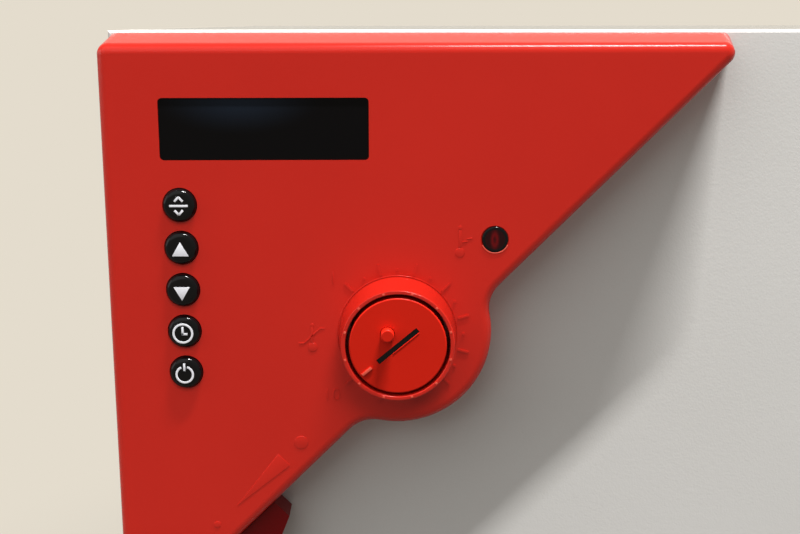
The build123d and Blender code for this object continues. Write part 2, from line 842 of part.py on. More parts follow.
# Insulation in the door, cut round what passes through it
screw_pocket_radius = screw_head_radius + screw_pocket_gap
screw_pocket_back = door_front + sheet + screw_pocket_depth
with BuildPart() as door_insulation:
    block(inner_x, (door_front + sheet, door_inner_face),
          (door_floor_gap + sheet, cabinet_height - sheet))
    block(inner_plug_x, (door_inner_face, plug_back - inner_sheet), inner_plug_z)
    hinge_recesses()
    block((air_channel_left, air_channel_right), (door_front + sheet, air_channel_back), air_z, Mode.SUBTRACT)
    block(air_outlet_x, (door_front + sheet, plug_back - inner_sheet), air_z, Mode.SUBTRACT)
    rod_y(handle_x, handle_height, bushing_radius, (door_front + sheet, door_inner_face), Mode.SUBTRACT)
    for x, z in screw_places_on_cover:
        rod_y(cover_x(x), cover_z(z), screw_pocket_radius, (door_front + sheet, screw_pocket_back),
              Mode.SUBTRACT)
save(door_insulation, "door_insulation")

# Silicone gasket round the plug
gasket_inner_half = chamber_half + gasket_margin
with BuildPart() as door_gasket:
    with BuildSketch(facing(frame_front - gasket_free_gap, 0, chamber_middle)):
        gasket_side = 2 * gasket_inner_half
        gasket_tall = chamber_height + 2 * gasket_margin
        RectangleRounded(gasket_side + 2 * gasket_width, gasket_tall + 2 * gasket_width,
                         gasket_width + gasket_corner)
        RectangleRounded(gasket_side, gasket_tall, gasket_corner, mode=Mode.SUBTRACT)
    extrude(amount=door_gap - gasket_free_gap)
    fillet(door_gasket.faces().sort_by(Axis.Y)[-1].edges(), gasket_lip)
save(door_gasket, "door_gasket")

# Hinges
leaf_left = hinge_x - hinge_leaf_width
leaf_arm_left = hinge_x - hinge_radius
leaf_screw_x = leaf_left + leaf_screw_inset


def leaf_screw_heights(height):
    return (height - leaf_screw_offset, height + leaf_screw_offset)


def housing_leaf(height):
    """The fixed leaf: a plate on the front frame with the middle knuckle."""
    plate_front = frame_front - hinge_leaf_thickness
    with BuildPart() as leaf:
        block((leaf_left, hinge_x + hinge_radius), (plate_front, frame_front),
              (height - hinge_half_height, height + hinge_half_height))
        middle = (height - hinge_middle_half, height + hinge_middle_half)
        block((leaf_arm_left, hinge_x + hinge_radius), (hinge_y, frame_front), middle)
        rod_z(hinge_x, hinge_y, hinge_radius, middle)
        rod_z(hinge_x, hinge_y, hinge_pin_radius + hinge_pin_clearance, middle, Mode.SUBTRACT)
        for z in leaf_screw_heights(height):
            rod_y(leaf_screw_x, z, screw_hole_radius, (plate_front, frame_front), Mode.SUBTRACT)
    return leaf


def door_leaf(height):
    """The moving leaf: a plate on the door's inner panel with the two outer knuckles."""
    plate_back = door_back + hinge_leaf_thickness
    knuckle_start = hinge_middle_half + hinge_knuckle_gap
    with BuildPart() as leaf:
        block((leaf_left, leaf_arm_left - leaf_gap), (door_back, plate_back),
              (height - hinge_half_height, height + hinge_half_height))
        for ends in ((-hinge_half_height, -knuckle_start), (knuckle_start, hinge_half_height)):
            span = (height + ends[0], height + ends[1])
            block((leaf_arm_left - leaf_gap, hinge_x), (door_back, plate_back), span)
            block((leaf_arm_left, hinge_x), (hinge_y, plate_back), span)
            rod_z(hinge_x, hinge_y, hinge_radius, span)
            rod_z(hinge_x, hinge_y, hinge_pin_radius, span, Mode.SUBTRACT)
        for z in leaf_screw_heights(height):
            rod_y(leaf_screw_x, z, screw_hole_radius, (door_back, plate_back), Mode.SUBTRACT)
    return leaf


def hinge_pin(height):
    """A headed pin, held in the outer knuckles and turning in the middle one."""
    with BuildPart() as pin:
        top = height + hinge_half_height
        rod_z(hinge_x, hinge_y, hinge_pin_radius, (height - hinge_half_height - hinge_pin_tail, top))
        rod_z(hinge_x, hinge_y, hinge_pin_radius + hinge_pin_head_reach, (top, top + hinge_pin_head))
    return pin


for place, height in hinge_heights.items():
    save(housing_leaf(height), f"{place}_hinge_housing_leaf")
    save(door_leaf(height), f"{place}_hinge_door_leaf")
    save(hinge_pin(height), f"{place}_hinge_pin")

# Door handle: base, lever, spindle and latch cam
handle_front = door_front - handle_reach
base_front = door_front - handle_base_height
spindle_front = handle_front + handle_thickness / 2
with BuildPart() as handle_base:
    rod_y(handle_x, handle_height, handle_base_radius, (base_front, door_front))
    fillet(handle_base.faces().sort_by(Axis.Y)[0].edges(), handle_base_edge)
    rod_y(handle_x, handle_height, spindle_hole_radius, (base_front, door_front), Mode.SUBTRACT)
save(handle_base, "handle_base")

with BuildPart() as handle_lever:
    with BuildSketch(facing(handle_front + handle_thickness, handle_x, handle_height)):
        Circle(handle_hub_radius)
        with Locations((0, -handle_length)):
            Circle(handle_tip_radius)
        make_hull()
    extrude(amount=handle_thickness)
    fillet(handle_lever.faces().sort_by(Axis.Y)[0].edges(), handle_front_edge)
    fillet(handle_lever.faces().sort_by(Axis.Y)[-1].edges(), handle_back_edge)
    rod_y(handle_x, handle_height, handle_hub_radius, (spindle_front, base_front - moving_gap))
    rod_y(handle_x, handle_height, spindle_radius, (spindle_front, base_front), Mode.SUBTRACT)
save(handle_lever, "handle_lever")

cam_front = frame_front + keeper_sheet + cam_gap
cam_back = cam_front + cam_thickness
with BuildPart() as handle_spindle:
    rod_y(handle_x, handle_height, spindle_radius, (spindle_front, cam_back + spindle_tail))
save(handle_spindle, "handle_spindle")

with BuildPart() as latch_cam:
    with BuildSketch(facing(cam_back, handle_x, handle_height)):
        SlotOverall(cam_length, cam_width, rotation=90)
        Circle(spindle_radius, mode=Mode.SUBTRACT)
    extrude(amount=cam_thickness)
save(latch_cam, "latch_cam")

# Instrument cover
cover_tip = cover_side + cover_back_rise
boss_bore_front = cover_wall + boss_blind
dial_to_slope = (cover_side - dial_x + dial_z) / sqrt(2)


def cover_outline(inset, top):
    """The cover's outline with sharp corners, drawn in by inset, up to a level."""
    slope = cover_side - inset * sqrt(2)
    Polygon((inset, top), (slope + top, top), (inset, inset - slope), align=None)
    with Locations((dial_x, dial_z)):
        Circle(bump_radius - inset)


def near(point):
    """A sort key: the distance of a shape's middle from a point on the cover, seen from the front."""
    x = cover_x(point[0])
    z = cover_z(point[1])
    return lambda shape: hypot(shape.center().X - x, shape.center().Z - z)


bump_reach = sqrt(bump_radius ** 2 - dial_to_slope ** 2)
bump_foot_middle = ((dial_x + dial_z + cover_side) / 2, (dial_x + dial_z - cover_side) / 2)
bump_foot_offset = bump_reach / sqrt(2)
bump_feet = [
    (bump_foot_middle[0] + offset, bump_foot_middle[1] + offset)
    for offset in (-bump_foot_offset, bump_foot_offset)
]
cavity_top = -cover_front_drop - cover_wall

# Posts that carry the circuit board
last_button_z = button_first_z - (button_count - 1) * button_pitch
board_left = window_left - board_margin
board_top = window_top + board_margin
board_right = window_left + window_width + board_margin
board_bottom = last_button_z - board_below_buttons
board_lower_right = dial_x - limiter_radius - board_limiter_gap
board_shoulder = dial_z + limiter_radius + board_shoulder_gap
upper_post_z = window_top - window_height - post_below_window
lower_post_z = board_bottom + post_inset
post_places = [
    (board_left + post_inset, upper_post_z), (board_right - post_inset, upper_post_z),
    (board_left + post_inset, lower_post_z), (board_lower_right - post_inset, lower_post_z),
]


def depth_edge(point):
    """The edge along the cover's depth that is nearest a corner."""
    long_edges = panel_shell.edges().filter_by(lambda edge: edge.bounding_box().size.Y > cover_depth * 0.8)
    return long_edges.sort_by(near(point))[0]


with BuildPart() as panel_shell:
    with BuildSketch(cover_plane(cover_depth)):
        cover_outline(0, cover_back_rise)
    extrude(amount=cover_depth)
    # The upper flank rises towards the door
    flank_front = cover_top - cover_front_drop
    flank_back = cover_top + cover_back_rise
    with BuildSketch(Plane.YZ.offset(door_left - overrun)):
        Polygon((cover_front - overrun, flank_front), (cover_front, flank_front), (door_front, flank_back),
                (door_front, flank_back + overrun), (cover_front - overrun, flank_back + overrun), align=None)
    extrude(amount=cover_tip + 2 * overrun, mode=Mode.SUBTRACT)
    for point in bump_feet:
        fillet(panel_shell.edges().filter_by(Axis.Y).sort_by(near(point))[0], bump_fillet)
    fillet(depth_edge((0, -cover_side)), cover_tip_radius)
    fillet(depth_edge((cover_tip, 0)), cover_tip_radius)
    fillet(depth_edge((0, 0)), cover_corner_radius)
    fillet(panel_shell.faces().sort_by(Axis.Y)[0].edges(), cover_edge_radius)
    # Hollow behind the face
    with BuildSketch(cover_plane(cover_depth)) as cavity:
        cover_outline(cover_wall, cavity_top)
        corners = cavity.vertices()
        fillet([corners.sort_by(near((0, -cover_side)))[0], corners.sort_by(near((cover_side, 0)))[0]],
               cover_tip_radius - cover_wall)
    extrude(amount=cover_depth - cover_wall, mode=Mode.SUBTRACT)
    # Dial collar
    with Locations(Location((cover_x(dial_x), cover_y(-collar_height / 2), cover_z(dial_z)), (90, 0, 0))):
        Cone(collar_foot_radius, collar_rim_radius, collar_height)
    rod_y(cover_x(dial_x), cover_z(dial_z), collar_bore_radius, (cover_y(-collar_height), cover_y(0)),
          Mode.SUBTRACT)
    fillet(panel_shell.faces().sort_by(Axis.Y)[0].edges(), collar_edge_radius)
    # Raised scale round the collar
    with BuildSketch(cover_plane(cover_wall / 2)):
        with Locations((dial_x, dial_z)):
            line_count = int((scale_first_line - scale_last_line) / scale_step) + 1
            line_middle = (scale_line_inner + scale_line_outer) / 2
            with PolarLocations(line_middle, line_count, scale_last_line, scale_step * (line_count - 1),
                                endpoint=True):
                Rectangle(scale_line_outer - scale_line_inner, scale_line_width)
            with PolarLocations(scale_dot_place, line_count - 1, scale_last_line + scale_step / 2,
                                scale_step * (line_count - 2), endpoint=True):
                Circle(scale_dot_radius)
    extrude(amount=cover_wall / 2 + scale_relief)
    # Openings for the display, the buttons, the lamp, the limiter's bush and the lever's stem
    with BuildSketch(cover_plane(cover_wall)):
        with Locations((window_left + window_width / 2, window_top - window_height / 2)):
            RectangleRounded(window_width, window_height, window_corner)
        for index in range(button_count):
            with Locations((button_x, button_first_z - index * button_pitch)):
                Circle(button_radius + button_hole_gap)
        with Locations((lamp_x, lamp_z)):
            Circle(lamp_radius + lamp_fit)
    extrude(amount=cover_wall, mode=Mode.SUBTRACT)
    bush_radius = dial_spindle_radius + dial_bush_wall
    rod_y(cover_x(dial_x), cover_z(dial_z), bush_radius, (cover_y(0), cover_y(cover_wall)), Mode.SUBTRACT)
    lamp_edge = panel_shell.edges().filter_by(GeomType.CIRCLE).filter_by(
        lambda edge: abs(edge.radius - lamp_radius - lamp_fit) < 0.01).sort_by(Axis.Y)[0]
    chamfer(lamp_edge, lamp_chamfer)
    with BuildSketch(slope_plane(stem_front + stem_thickness + moving_gap)):
        slot_middle = lever_rest + lever_travel / 2
        with Locations((slot_middle, 0)):
            Rectangle(lever_travel + 2 * (stem_half_width + moving_gap), 4 * cover_wall)
    extrude(amount=stem_thickness + 2 * moving_gap, mode=Mode.SUBTRACT)
    # Screw bosses and the posts of the board
    for x, z in screw_places_on_cover:
        rod_y(cover_x(x), cover_z(z), boss_radius, (cover_y(cover_wall / 2), cover_y(cover_depth)))
        rod_y(cover_x(x), cover_z(z), screw_hole_radius, (cover_y(boss_bore_front), cover_y(cover_depth)),
              Mode.SUBTRACT)
    for x, z in post_places:
        rod_y(cover_x(x), cover_z(z), post_radius, (cover_y(cover_wall / 2), cover_y(board_front)))
save(panel_shell, "panel_shell")

with BuildPart() as panel_screws:
    head_y = door_front + sheet
    for x, z in screw_places_on_cover:
        rod_y(cover_x(x), cover_z(z), screw_radius, (cover_y(boss_bore_front + screw_end_gap), head_y))
        rod_y(cover_x(x), cover_z(z), screw_head_radius, (head_y, head_y + screw_head_height))
save(panel_screws, "panel_screws")

with BuildPart() as display_window:
    with BuildSketch(cover_plane(cover_wall)):
        with Locations((window_left + window_width / 2, window_top - window_height / 2)):
            RectangleRounded(window_width - 2 * window_fit, window_height - 2 * window_fit, window_corner)
    extrude(amount=cover_wall - window_recess)
save(display_window, "display_window")

# Display block between the window and the board, a little smaller than the window
with BuildPart() as display_module:
    block((cover_x(window_left + display_margin), cover_x(window_left + window_width - display_margin)),
          (cover_y(cover_wall), cover_y(board_front)),
          (cover_z(window_top - window_height + display_margin), cover_z(window_top - display_margin)))
save(display_module, "display_module")

# Circuit board with one switch under each button
switch_top = button_stem_end + button_travel + moving_gap
with BuildPart() as control_board:
    with BuildSketch(cover_plane(board_front + board_thickness)):
        Polygon((board_left, board_top), (board_right, board_top), (board_right, board_shoulder),
                (board_lower_right, board_shoulder - board_slant), (board_lower_right, board_bottom),
                (board_left, board_bottom), align=None)
    extrude(amount=board_thickness)
    with BuildSketch(cover_plane(board_front)):
        for index in range(button_count):
            with Locations((button_x, button_first_z - index * button_pitch)):
                Rectangle(2 * switch_half, 2 * switch_half)
    extrude(amount=board_front - switch_top)
save(control_board, "control_board")


def push_button(index):
    """A domed cap with a flange behind the cover and a stem that ends short of its switch."""
    z = button_first_z - index * button_pitch
    flange_front = cover_wall + moving_gap
    flange_back = flange_front + button_flange
    with BuildPart() as button:
        rod_y(cover_x(button_x), cover_z(z), button_radius, (cover_y(-button_proud), cover_y(flange_back)))
        fillet(button.faces().sort_by(Axis.Y)[0].edges(), button_dome_radius)
        rod_y(cover_x(button_x), cover_z(z), button_radius + button_flange_reach,
              (cover_y(flange_front), cover_y(flange_back)))
        rod_y(cover_x(button_x), cover_z(z), button_stem_radius,
              (cover_y(flange_front), cover_y(button_stem_end)))
    return button


button_names = ("button_mode", "button_up", "button_down", "button_clock", "button_power")
for index, name in enumerate(button_names):
    save(push_button(index), name)

# Indicator lens and its holder
lens_flange_radius = lamp_radius + lens_flange_reach
holder_front = cover_wall + lens_flange
with BuildPart() as indicator_lens:
    rod_y(cover_x(lamp_x), cover_z(lamp_z), lamp_radius, (cover_y(-lens_proud), cover_y(holder_front)))
    fillet(indicator_lens.faces().sort_by(Axis.Y)[0].edges(), lens_edge_radius)
    rod_y(cover_x(lamp_x), cover_z(lamp_z), lens_flange_radius, (cover_y(cover_wall), cover_y(holder_front)))
save(indicator_lens, "indicator_lens")

with BuildPart() as lamp_holder:
    rod_y(cover_x(lamp_x), cover_z(lamp_z), lamp_holder_radius,
          (cover_y(holder_front), cover_y(holder_front + lamp_holder_length)))
    rod_y(cover_x(lamp_x), cover_z(lamp_z), lamp_holder_radius - lamp_holder_wall,
          (cover_y(holder_front), cover_y(holder_front + lamp_cavity_depth)), Mode.SUBTRACT)
save(lamp_holder, "lamp_holder")

# Temperature limiter behind the dial, held by a nut on its bush
limiter_back = cover_wall + limiter_length
spindle_depth = limiter_back - limiter_end_wall
nut_front = -limiter_nut_height
with BuildPart() as limiter_unit:
    rod_y(cover_x(dial_x), cover_z(dial_z), limiter_radius, (cover_y(cover_wall), cover_y(limiter_back)))
    rod_y(cover_x(dial_x), cover_z(dial_z), bush_radius, (cover_y(nut_front), cover_y(cover_wall)))
    rod_y(cover_x(dial_x), cover_z(dial_z), bush_radius + limiter_nut_reach, (cover_y(nut_front), cover_y(0)))
    rod_y(cover_x(dial_x), cover_z(dial_z), dial_spindle_radius + dial_spindle_clearance,
          (cover_y(nut_front), cover_y(spindle_depth + overrun)), Mode.SUBTRACT)
save(limiter_unit, "limiter_unit")

# Dial: a cup with a coin slot, a raised pointer and a bore for the reset pin
dial_front = -collar_height
dial_back = -dial_lift
reset_angle = coin_slot_angle + 90
reset_x = dial_x + reset_offset * cos(radians(reset_angle))
reset_z = dial_z + reset_offset * sin(radians(reset_angle))
reset_front = dial_front - reset_proud
reset_end = reset_front + reset_length
dial_bore_front = dial_front + dial_spindle_depth
with BuildPart() as dial_disc:
    rod_y(cover_x(dial_x), cover_z(dial_z), dial_radius, (cover_y(dial_front), cover_y(dial_back)))
    fillet(dial_disc.faces().sort_by(Axis.Y)[0].edges(), dial_edge_radius)
    rod_y(cover_x(dial_x), cover_z(dial_z), dial_radius - dial_skirt,
          (cover_y(dial_front + dial_face), cover_y(dial_back)), Mode.SUBTRACT)
    rod_y(cover_x(dial_x), cover_z(dial_z), dial_core_radius,
          (cover_y(dial_front + dial_face / 2), cover_y(dial_back)))
    rod_y(cover_x(dial_x), cover_z(dial_z), dial_spindle_radius,
          (cover_y(dial_bore_front), cover_y(dial_back)), Mode.SUBTRACT)
    rod_y(cover_x(reset_x), cover_z(reset_z), reset_radius + moving_gap,
          (cover_y(dial_front), cover_y(reset_end + reset_travel + moving_gap)), Mode.SUBTRACT)
    with BuildSketch(cover_plane(dial_front)):
        with Locations((dial_x, dial_z)):
            Rectangle(coin_slot_length, coin_slot_width, rotation=coin_slot_angle)
    extrude(amount=-coin_slot_depth, mode=Mode.SUBTRACT)
    with BuildSketch(cover_plane(dial_front + dial_face / 2)):
        with Locations((dial_x, dial_z)):
            with PolarLocations(pointer_place, 1, coin_slot_angle + 180):
                Rectangle(pointer_length, pointer_width)
    extrude(amount=dial_face / 2 + scale_relief)
save(dial_disc, "dial_disc")

with BuildPart() as dial_spindle:
    rod_y(cover_x(dial_x), cover_z(dial_z), dial_spindle_radius,
          (cover_y(dial_bore_front), cover_y(spindle_depth)))
save(dial_spindle, "dial_spindle")

with BuildPart() as reset_pin:
    rod_y(cover_x(reset_x), cover_z(reset_z), reset_radius, (cover_y(reset_front), cover_y(reset_end)))
    fillet(reset_pin.faces().sort_by(Axis.Y)[0].edges(), reset_edge_radius)
save(reset_pin, "reset_pin")

# Air flap lever: a faceted grip with ramped ends, and a stem through the cover's slot
grip_half = lever_length / 2
plateau_half = lever_plateau / 2
with BuildPart() as flap_lever:
    with BuildSketch(slope_plane(lever_back)):
        Polygon((lever_rest + grip_half, -lever_gap), (lever_rest + grip_half, -lever_edge_reach),
                (lever_rest + plateau_half, -lever_reach), (lever_rest - plateau_half, -lever_reach),
                (lever_rest - grip_half, -lever_edge_reach), (lever_rest - grip_half, -lever_gap), align=None)
    extrude(amount=lever_back - lever_front)
    # Ramps from the plateau down to both ends, cut by a wedge that lies across the grip
    for side in (-1, 1):
        ramp_start = lever_rest + side * plateau_half
        ramp_end = lever_rest + side * (grip_half + overrun)
        wedge_origin = slope_plane(0).from_local_coords((0, overrun, 0))
        with BuildSketch(Plane(origin=wedge_origin, x_dir=(1, 0, 1), z_dir=(1, 0, -1))):
            Polygon((ramp_start, lever_front), (ramp_end, lever_front + lever_ramp_drop),
                    (ramp_end, lever_front - overrun), (ramp_start, lever_front - overrun), align=None)
        extrude(amount=lever_reach + 2 * overrun, mode=Mode.SUBTRACT)
    with BuildSketch(slope_plane(stem_front + stem_thickness)):
        stem_inner = shutter_setback - shutter_width / 2 + shutter_web
        stem_outer = -lever_gap - stem_lap
        with Locations((lever_rest, (stem_inner + stem_outer) / 2)):
            Rectangle(2 * stem_half_width, stem_inner - stem_outer)
    extrude(amount=stem_thickness)
save(flap_lever, "flap_lever")

with BuildPart() as inlet_shutter:
    shutter_back = cover_depth - moving_gap
    with BuildSketch(slope_plane(shutter_back)):
        with Locations((lever_rest, shutter_setback)):
            Rectangle(shutter_length, shutter_width)
    extrude(amount=shutter_thickness)
    with BuildSketch(slope_plane(shutter_back)):
        with Locations((lever_rest, shutter_setback - (shutter_width - shutter_web) / 2)):
            Rectangle(2 * stem_half_width, shutter_web)
    extrude(amount=shutter_back - stem_front - stem_thickness)
save(inlet_shutter, "inlet_shutter")

print("handle", handle_x, handle_height, "hinge", hinge_x, hinge_y)
print("cover", door_left, cover_front, cover_top, "duct", duct_x, damper_y, duct_z)
print("shelf levels", level_heights, "baffle", baffle_front, "plug back", plug_back)
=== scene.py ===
# %% [markdown]
# A laboratory drying oven, seen close to the upper left corner of its door, where a red instrument cover
# carries the display, five keys, a limiter dial and a lamp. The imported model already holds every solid
# part in its true place. This script dresses it: each finish is mixed from Blender's own patterns, and
# the small raised signs that no machinist would cut are added as thin pieces on the parts they belong to.

# %% Load the solid parts
import json
import math

import bmesh
import bpy
from mathutils import Matrix, Vector


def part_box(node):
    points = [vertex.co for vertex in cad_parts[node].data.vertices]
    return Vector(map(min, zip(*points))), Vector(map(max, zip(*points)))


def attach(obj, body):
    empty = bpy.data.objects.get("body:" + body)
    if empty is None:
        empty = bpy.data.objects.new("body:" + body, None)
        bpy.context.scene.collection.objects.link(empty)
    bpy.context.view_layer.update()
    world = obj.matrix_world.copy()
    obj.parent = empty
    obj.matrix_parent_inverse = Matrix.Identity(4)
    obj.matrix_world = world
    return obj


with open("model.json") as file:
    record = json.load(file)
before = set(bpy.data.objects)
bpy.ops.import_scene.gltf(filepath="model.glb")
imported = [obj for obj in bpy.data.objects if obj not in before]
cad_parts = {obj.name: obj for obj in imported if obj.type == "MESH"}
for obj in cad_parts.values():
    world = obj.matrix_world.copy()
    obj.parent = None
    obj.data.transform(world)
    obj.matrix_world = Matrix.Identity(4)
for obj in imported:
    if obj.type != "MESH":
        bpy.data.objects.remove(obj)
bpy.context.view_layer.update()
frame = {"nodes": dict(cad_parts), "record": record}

# %% [markdown]
# Every sign on the cover is placed with a ruler laid on its face: x runs to the right from the cover's
# left edge, y runs up from its top edge, and z stands proud of the face. The signs could be placed in the
# oven's own metres one by one. One matrix that turns a drawing in millimetres into those metres keeps the
# figures short instead, and all the signs share it.

# %% The cover's drawing plane
millimetre = 0.001
collar_height = 19.5
back_rise = 2.8
cover_low, cover_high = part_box("panel_shell")
face_depth = cover_low.y + collar_height * millimetre
face_top = cover_high.z - back_rise * millimetre
cover_corner = Vector((cover_low.x, face_depth, face_top))
facing_front = Matrix(((1, 0, 0, 0), (0, 0, -1, 0), (0, 1, 0, 0), (0, 0, 0, 1)))
on_cover = Matrix.Translation(cover_corner) @ facing_front @ Matrix.Scale(millimetre, 4)


def moved_out(plane, height):
    """A drawing plane moved straight out of the face, or into it with a height below zero."""
    return plane @ Matrix.Translation((0, 0, height))


collar_top = moved_out(on_cover, collar_height)
print("cover corner", [round(value, 4) for value in cover_corner])

# %% [markdown]
# Finishes are mixed with small sums. They could be wired node by node, but sums are easier to read as sums.
# So a Reading wraps one output of a node, and Python's own signs add the Math nodes.

# %% Sums of readings


class Reading:
    """What one node gives at each point of a surface."""

    def __init__(self, shader, socket):
        self.shader = shader
        self.socket = socket

    def work_out(self, operation, first, second):
        return self.shader.node("ShaderNodeMath", {"operation": operation}, {0: first, 1: second})

    def __add__(self, other):
        return self.work_out("ADD", self, other)

    def __sub__(self, other):
        return self.work_out("SUBTRACT", self, other)

    def __rsub__(self, other):
        return self.work_out("SUBTRACT", other, self)

    def __mul__(self, other):
        return self.work_out("MULTIPLY", self, other)

    def __gt__(self, other):
        return self.work_out("GREATER_THAN", self, other)

    __radd__ = __add__
    __rmul__ = __mul__


print("signs that add a node: + - * >")

# %% [markdown]
# A Shader wraps a node tree. Each kind of node could have a helper of its own, but they all take the same
# steps, so one method adds any kind, and the few that come back in most finishes get a short name. Every
# pattern starts from the place on the piece in metres, so it keeps its scale on large and small parts.

# %% Node trees


class Shader:
    """A node tree that is built from the pattern to the surface."""

    def __init__(self, owner):
        owner.use_nodes = True
        self.tree = owner.node_tree
        self.tree.nodes.clear()

    def node(self, kind, settings=None, sockets=None, output=0):
        """Add a node, set it up, fill or link its sockets, and read one of its outputs."""
        made = self.tree.nodes.new(kind)
        for name, value in (settings or {}).items():
            setattr(made, name, value)
        for key, value in (sockets or {}).items():
            if isinstance(value, Reading):
                self.tree.links.new(value.socket, made.inputs[key])
            else:
                made.inputs[key].default_value = value
        return Reading(self, made.outputs[output]) if made.outputs else None

    def point(self, stretch=(1, 1, 1), turn=(0, 0, 0), centre=(0, 0, 0)):
        """The place on the piece in metres, moved so that centre is its origin, then stretched."""
        place = self.node("ShaderNodeTexCoord", output="Object")
        moved = self.node("ShaderNodeVectorMath", {"operation": "SUBTRACT"}, {0: place, 1: centre})
        return self.node("ShaderNodeMapping", None, {"Vector": moved, "Rotation": turn, "Scale": stretch})

    def noise(self, size, detail=2, stretch=(1, 1, 1), roughness=0.5):
        """Soft blotches of about a size in millimetres, from 0 to 1."""
        sockets = {"Vector": self.point(stretch), "Scale": 1 / (size * millimetre), "Detail": detail,
                   "Roughness": roughness}
        return self.node("ShaderNodeTexNoise", None, sockets)

    def distance(self, place):
        """How far a place lies from the origin."""
        return self.node("ShaderNodeVectorMath", {"operation": "LENGTH"}, {0: place}, "Value")

    def fade(self, distance, near, far, at_near, at_far):
        """A value that changes softly between two distances."""
        sockets = {"Value": distance, "From Min": near, "From Max": far, "To Min": at_near, "To Max": at_far}
        return self.node("ShaderNodeMapRange", {"interpolation_type": "SMOOTHSTEP"}, sockets)

    def mix(self, share, first, second):
        """A colour between two. Sockets 6 and 7 and output 2 are the Mix node's own for colours."""
        return self.node("ShaderNodeMix", {"data_type": "RGBA"}, {0: share, 6: first, 7: second}, 2)

    def bump(self, height, depth):
        """A bumpy normal from a height of 0 to 1 that stands for a depth in millimetres."""
        return self.node("ShaderNodeBump", None, {"Height": height, "Distance": depth * millimetre})

    def surface(self, sockets):
        """The last two nodes: a surface of these values, shown as the finish."""
        made = self.node("ShaderNodeBsdfPrincipled", None, sockets)
        self.node("ShaderNodeOutputMaterial", None, {"Surface": made})


print("patterns are measured in units of", millimetre, "m")

# %% [markdown]
# A finish starts as an empty material. Its colours could be typed in as linear light, which is what a
# shader reckons in, but hardly anyone can picture those numbers. So they are written as in a paint program
# and turned into linear light here.

# %% New finishes and their colours


def new_finish(name):
    """An empty material and the shader that fills it."""
    material = bpy.data.materials.new(name)
    return material, Shader(material)


def colour(red, green, blue):
    """A colour as a paint program writes it, 0 to 255, as the linear light that shaders use."""
    parts = [value / 255 for value in (red, green, blue)]
    light = [part / 12.92 if part < 0.04045 else ((part + 0.055) / 1.055) ** 2.4 for part in parts]
    return (*light, 1)


print("middle grey is", round(colour(128, 128, 128)[0], 3), "in linear light")

# %% [markdown]
# The cover, the dial, the keys and the black handle are injection mouldings. A mould leaves a fine eroded
# grain on a matt part and almost none on a polished one. Noise in the bump gives that grain all over a
# part, round its edges too, which an image laid on the mesh wouldn't do without seams. An even colour would
# look like a plain fill, so a wide, faint mottle lies under the grain, and the gloss wanders a little with
# it. The red and the black bend light weakly: face on they keep their full colour, and along a round edge
# they mirror the backdrop.

# %% Moulded plastics


def moulded(name, base, shade, roughness, grain_size, grain_depth, gloss_wander=0.08, index=1.45):
    """A moulding's finish. Its grain is in millimetres, and index says how strongly it bends light."""
    material, shader = new_finish(name)
    mottle = shader.noise(size=60, detail=3)
    grain = shader.noise(size=grain_size)
    share = mottle * 0.7 + grain * 0.3
    shader.surface({
        "Base Color": shader.mix(share, base, shade),
        "Roughness": (grain - 0.5) * gloss_wander + roughness,
        "Normal": shader.bump(grain, grain_depth),
        "IOR": index,
    })
    return material


finishes = {
    "cover_plastic": moulded("red_cover_moulding", colour(199, 36, 24), colour(187, 31, 20),
                             roughness=0.23, grain_size=0.8, grain_depth=0.03, index=1.3),
    "dial_plastic": moulded("red_dial_moulding", colour(203, 32, 15), colour(194, 28, 12),
                            roughness=0.4, grain_size=0.9, grain_depth=0.015, index=1.22),
    "lever_plastic": moulded("dark_red_moulding", colour(126, 8, 12), colour(104, 6, 10),
                             roughness=0.3, grain_size=0.9, grain_depth=0.01, index=1.2),
    "button_black": moulded("gloss_black_key", colour(9, 9, 10), colour(5, 5, 6), roughness=0.12,
                            grain_size=1.5, grain_depth=0.004, gloss_wander=0.04, index=1.22),
    "handle_black": moulded("black_handle_moulding", colour(38, 38, 40), colour(28, 28, 30),
                            roughness=0.5, grain_size=0.5, grain_depth=0.05),
    "module_grey": moulded("grey_module_moulding", colour(82, 83, 85), colour(70, 71, 73),
                           roughness=0.55, grain_size=0.8, grain_depth=0.03),
    "foot_rubber": moulded("black_foot_rubber", colour(34, 34, 34), colour(26, 26, 26),
                           roughness=0.8, grain_size=1.2, grain_depth=0.05),
    "silicone": moulded("brown_silicone", colour(150, 84, 62), colour(134, 72, 54),
                        roughness=0.55, grain_size=2.0, grain_depth=0.02),
}
print(len(finishes), "moulded finishes")

# %% [markdown]
# The display sits behind a smoked acrylic pane, nearly black. Its weak cool sheen in the upper left part is
# a painted reflection: a cooler, lighter colour in the pane's base colour. The lamp has a dark red lens, and
# the light that seems to come through it as a soft ring round a darker core is a painted glow in the lens's
# base colour. Both could be clear bodies with a display and a lamp behind them, which takes long to render.
# They are dark here, so a glossy dark surface looks the same. The pane is polished and has no grain. The
# painted reflection and the painted glow are second colours that fade with the distance from a centre.

# %% Display pane and lamp lens
window_low, window_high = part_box("display_window")
window_width = window_high.x - window_low.x
window_height = window_high.z - window_low.z
painted_sheen_from_left = 0.38
painted_sheen_reach_across = 0.42
painted_sheen_reach_down = 0.62
ring_reach_across = 2.2
ring_reach_down = 4.8


def smoked_pane():
    material, shader = new_finish("smoked_display_pane")
    painted_sheen_centre = (window_low.x + painted_sheen_from_left * window_width, window_low.y, window_high.z)
    spread = (1 / (painted_sheen_reach_across * window_width), 0, 1 / (painted_sheen_reach_down * window_height))
    # Painted reflection: the base colour turns cooler and lighter towards the pane's upper left.
    distance = shader.distance(shader.point(spread, centre=painted_sheen_centre))
    painted_sheen = shader.fade(distance, 0.0, 1.0, at_near=1.0, at_far=0.0)
    dust = shader.noise(size=9, detail=3)
    shader.surface({
        "Base Color": shader.mix(painted_sheen, colour(8, 7, 8), colour(24, 31, 41)),
        "Roughness": dust * 0.05 + 0.1,
        "Specular IOR Level": 0.05,
    })
    return material


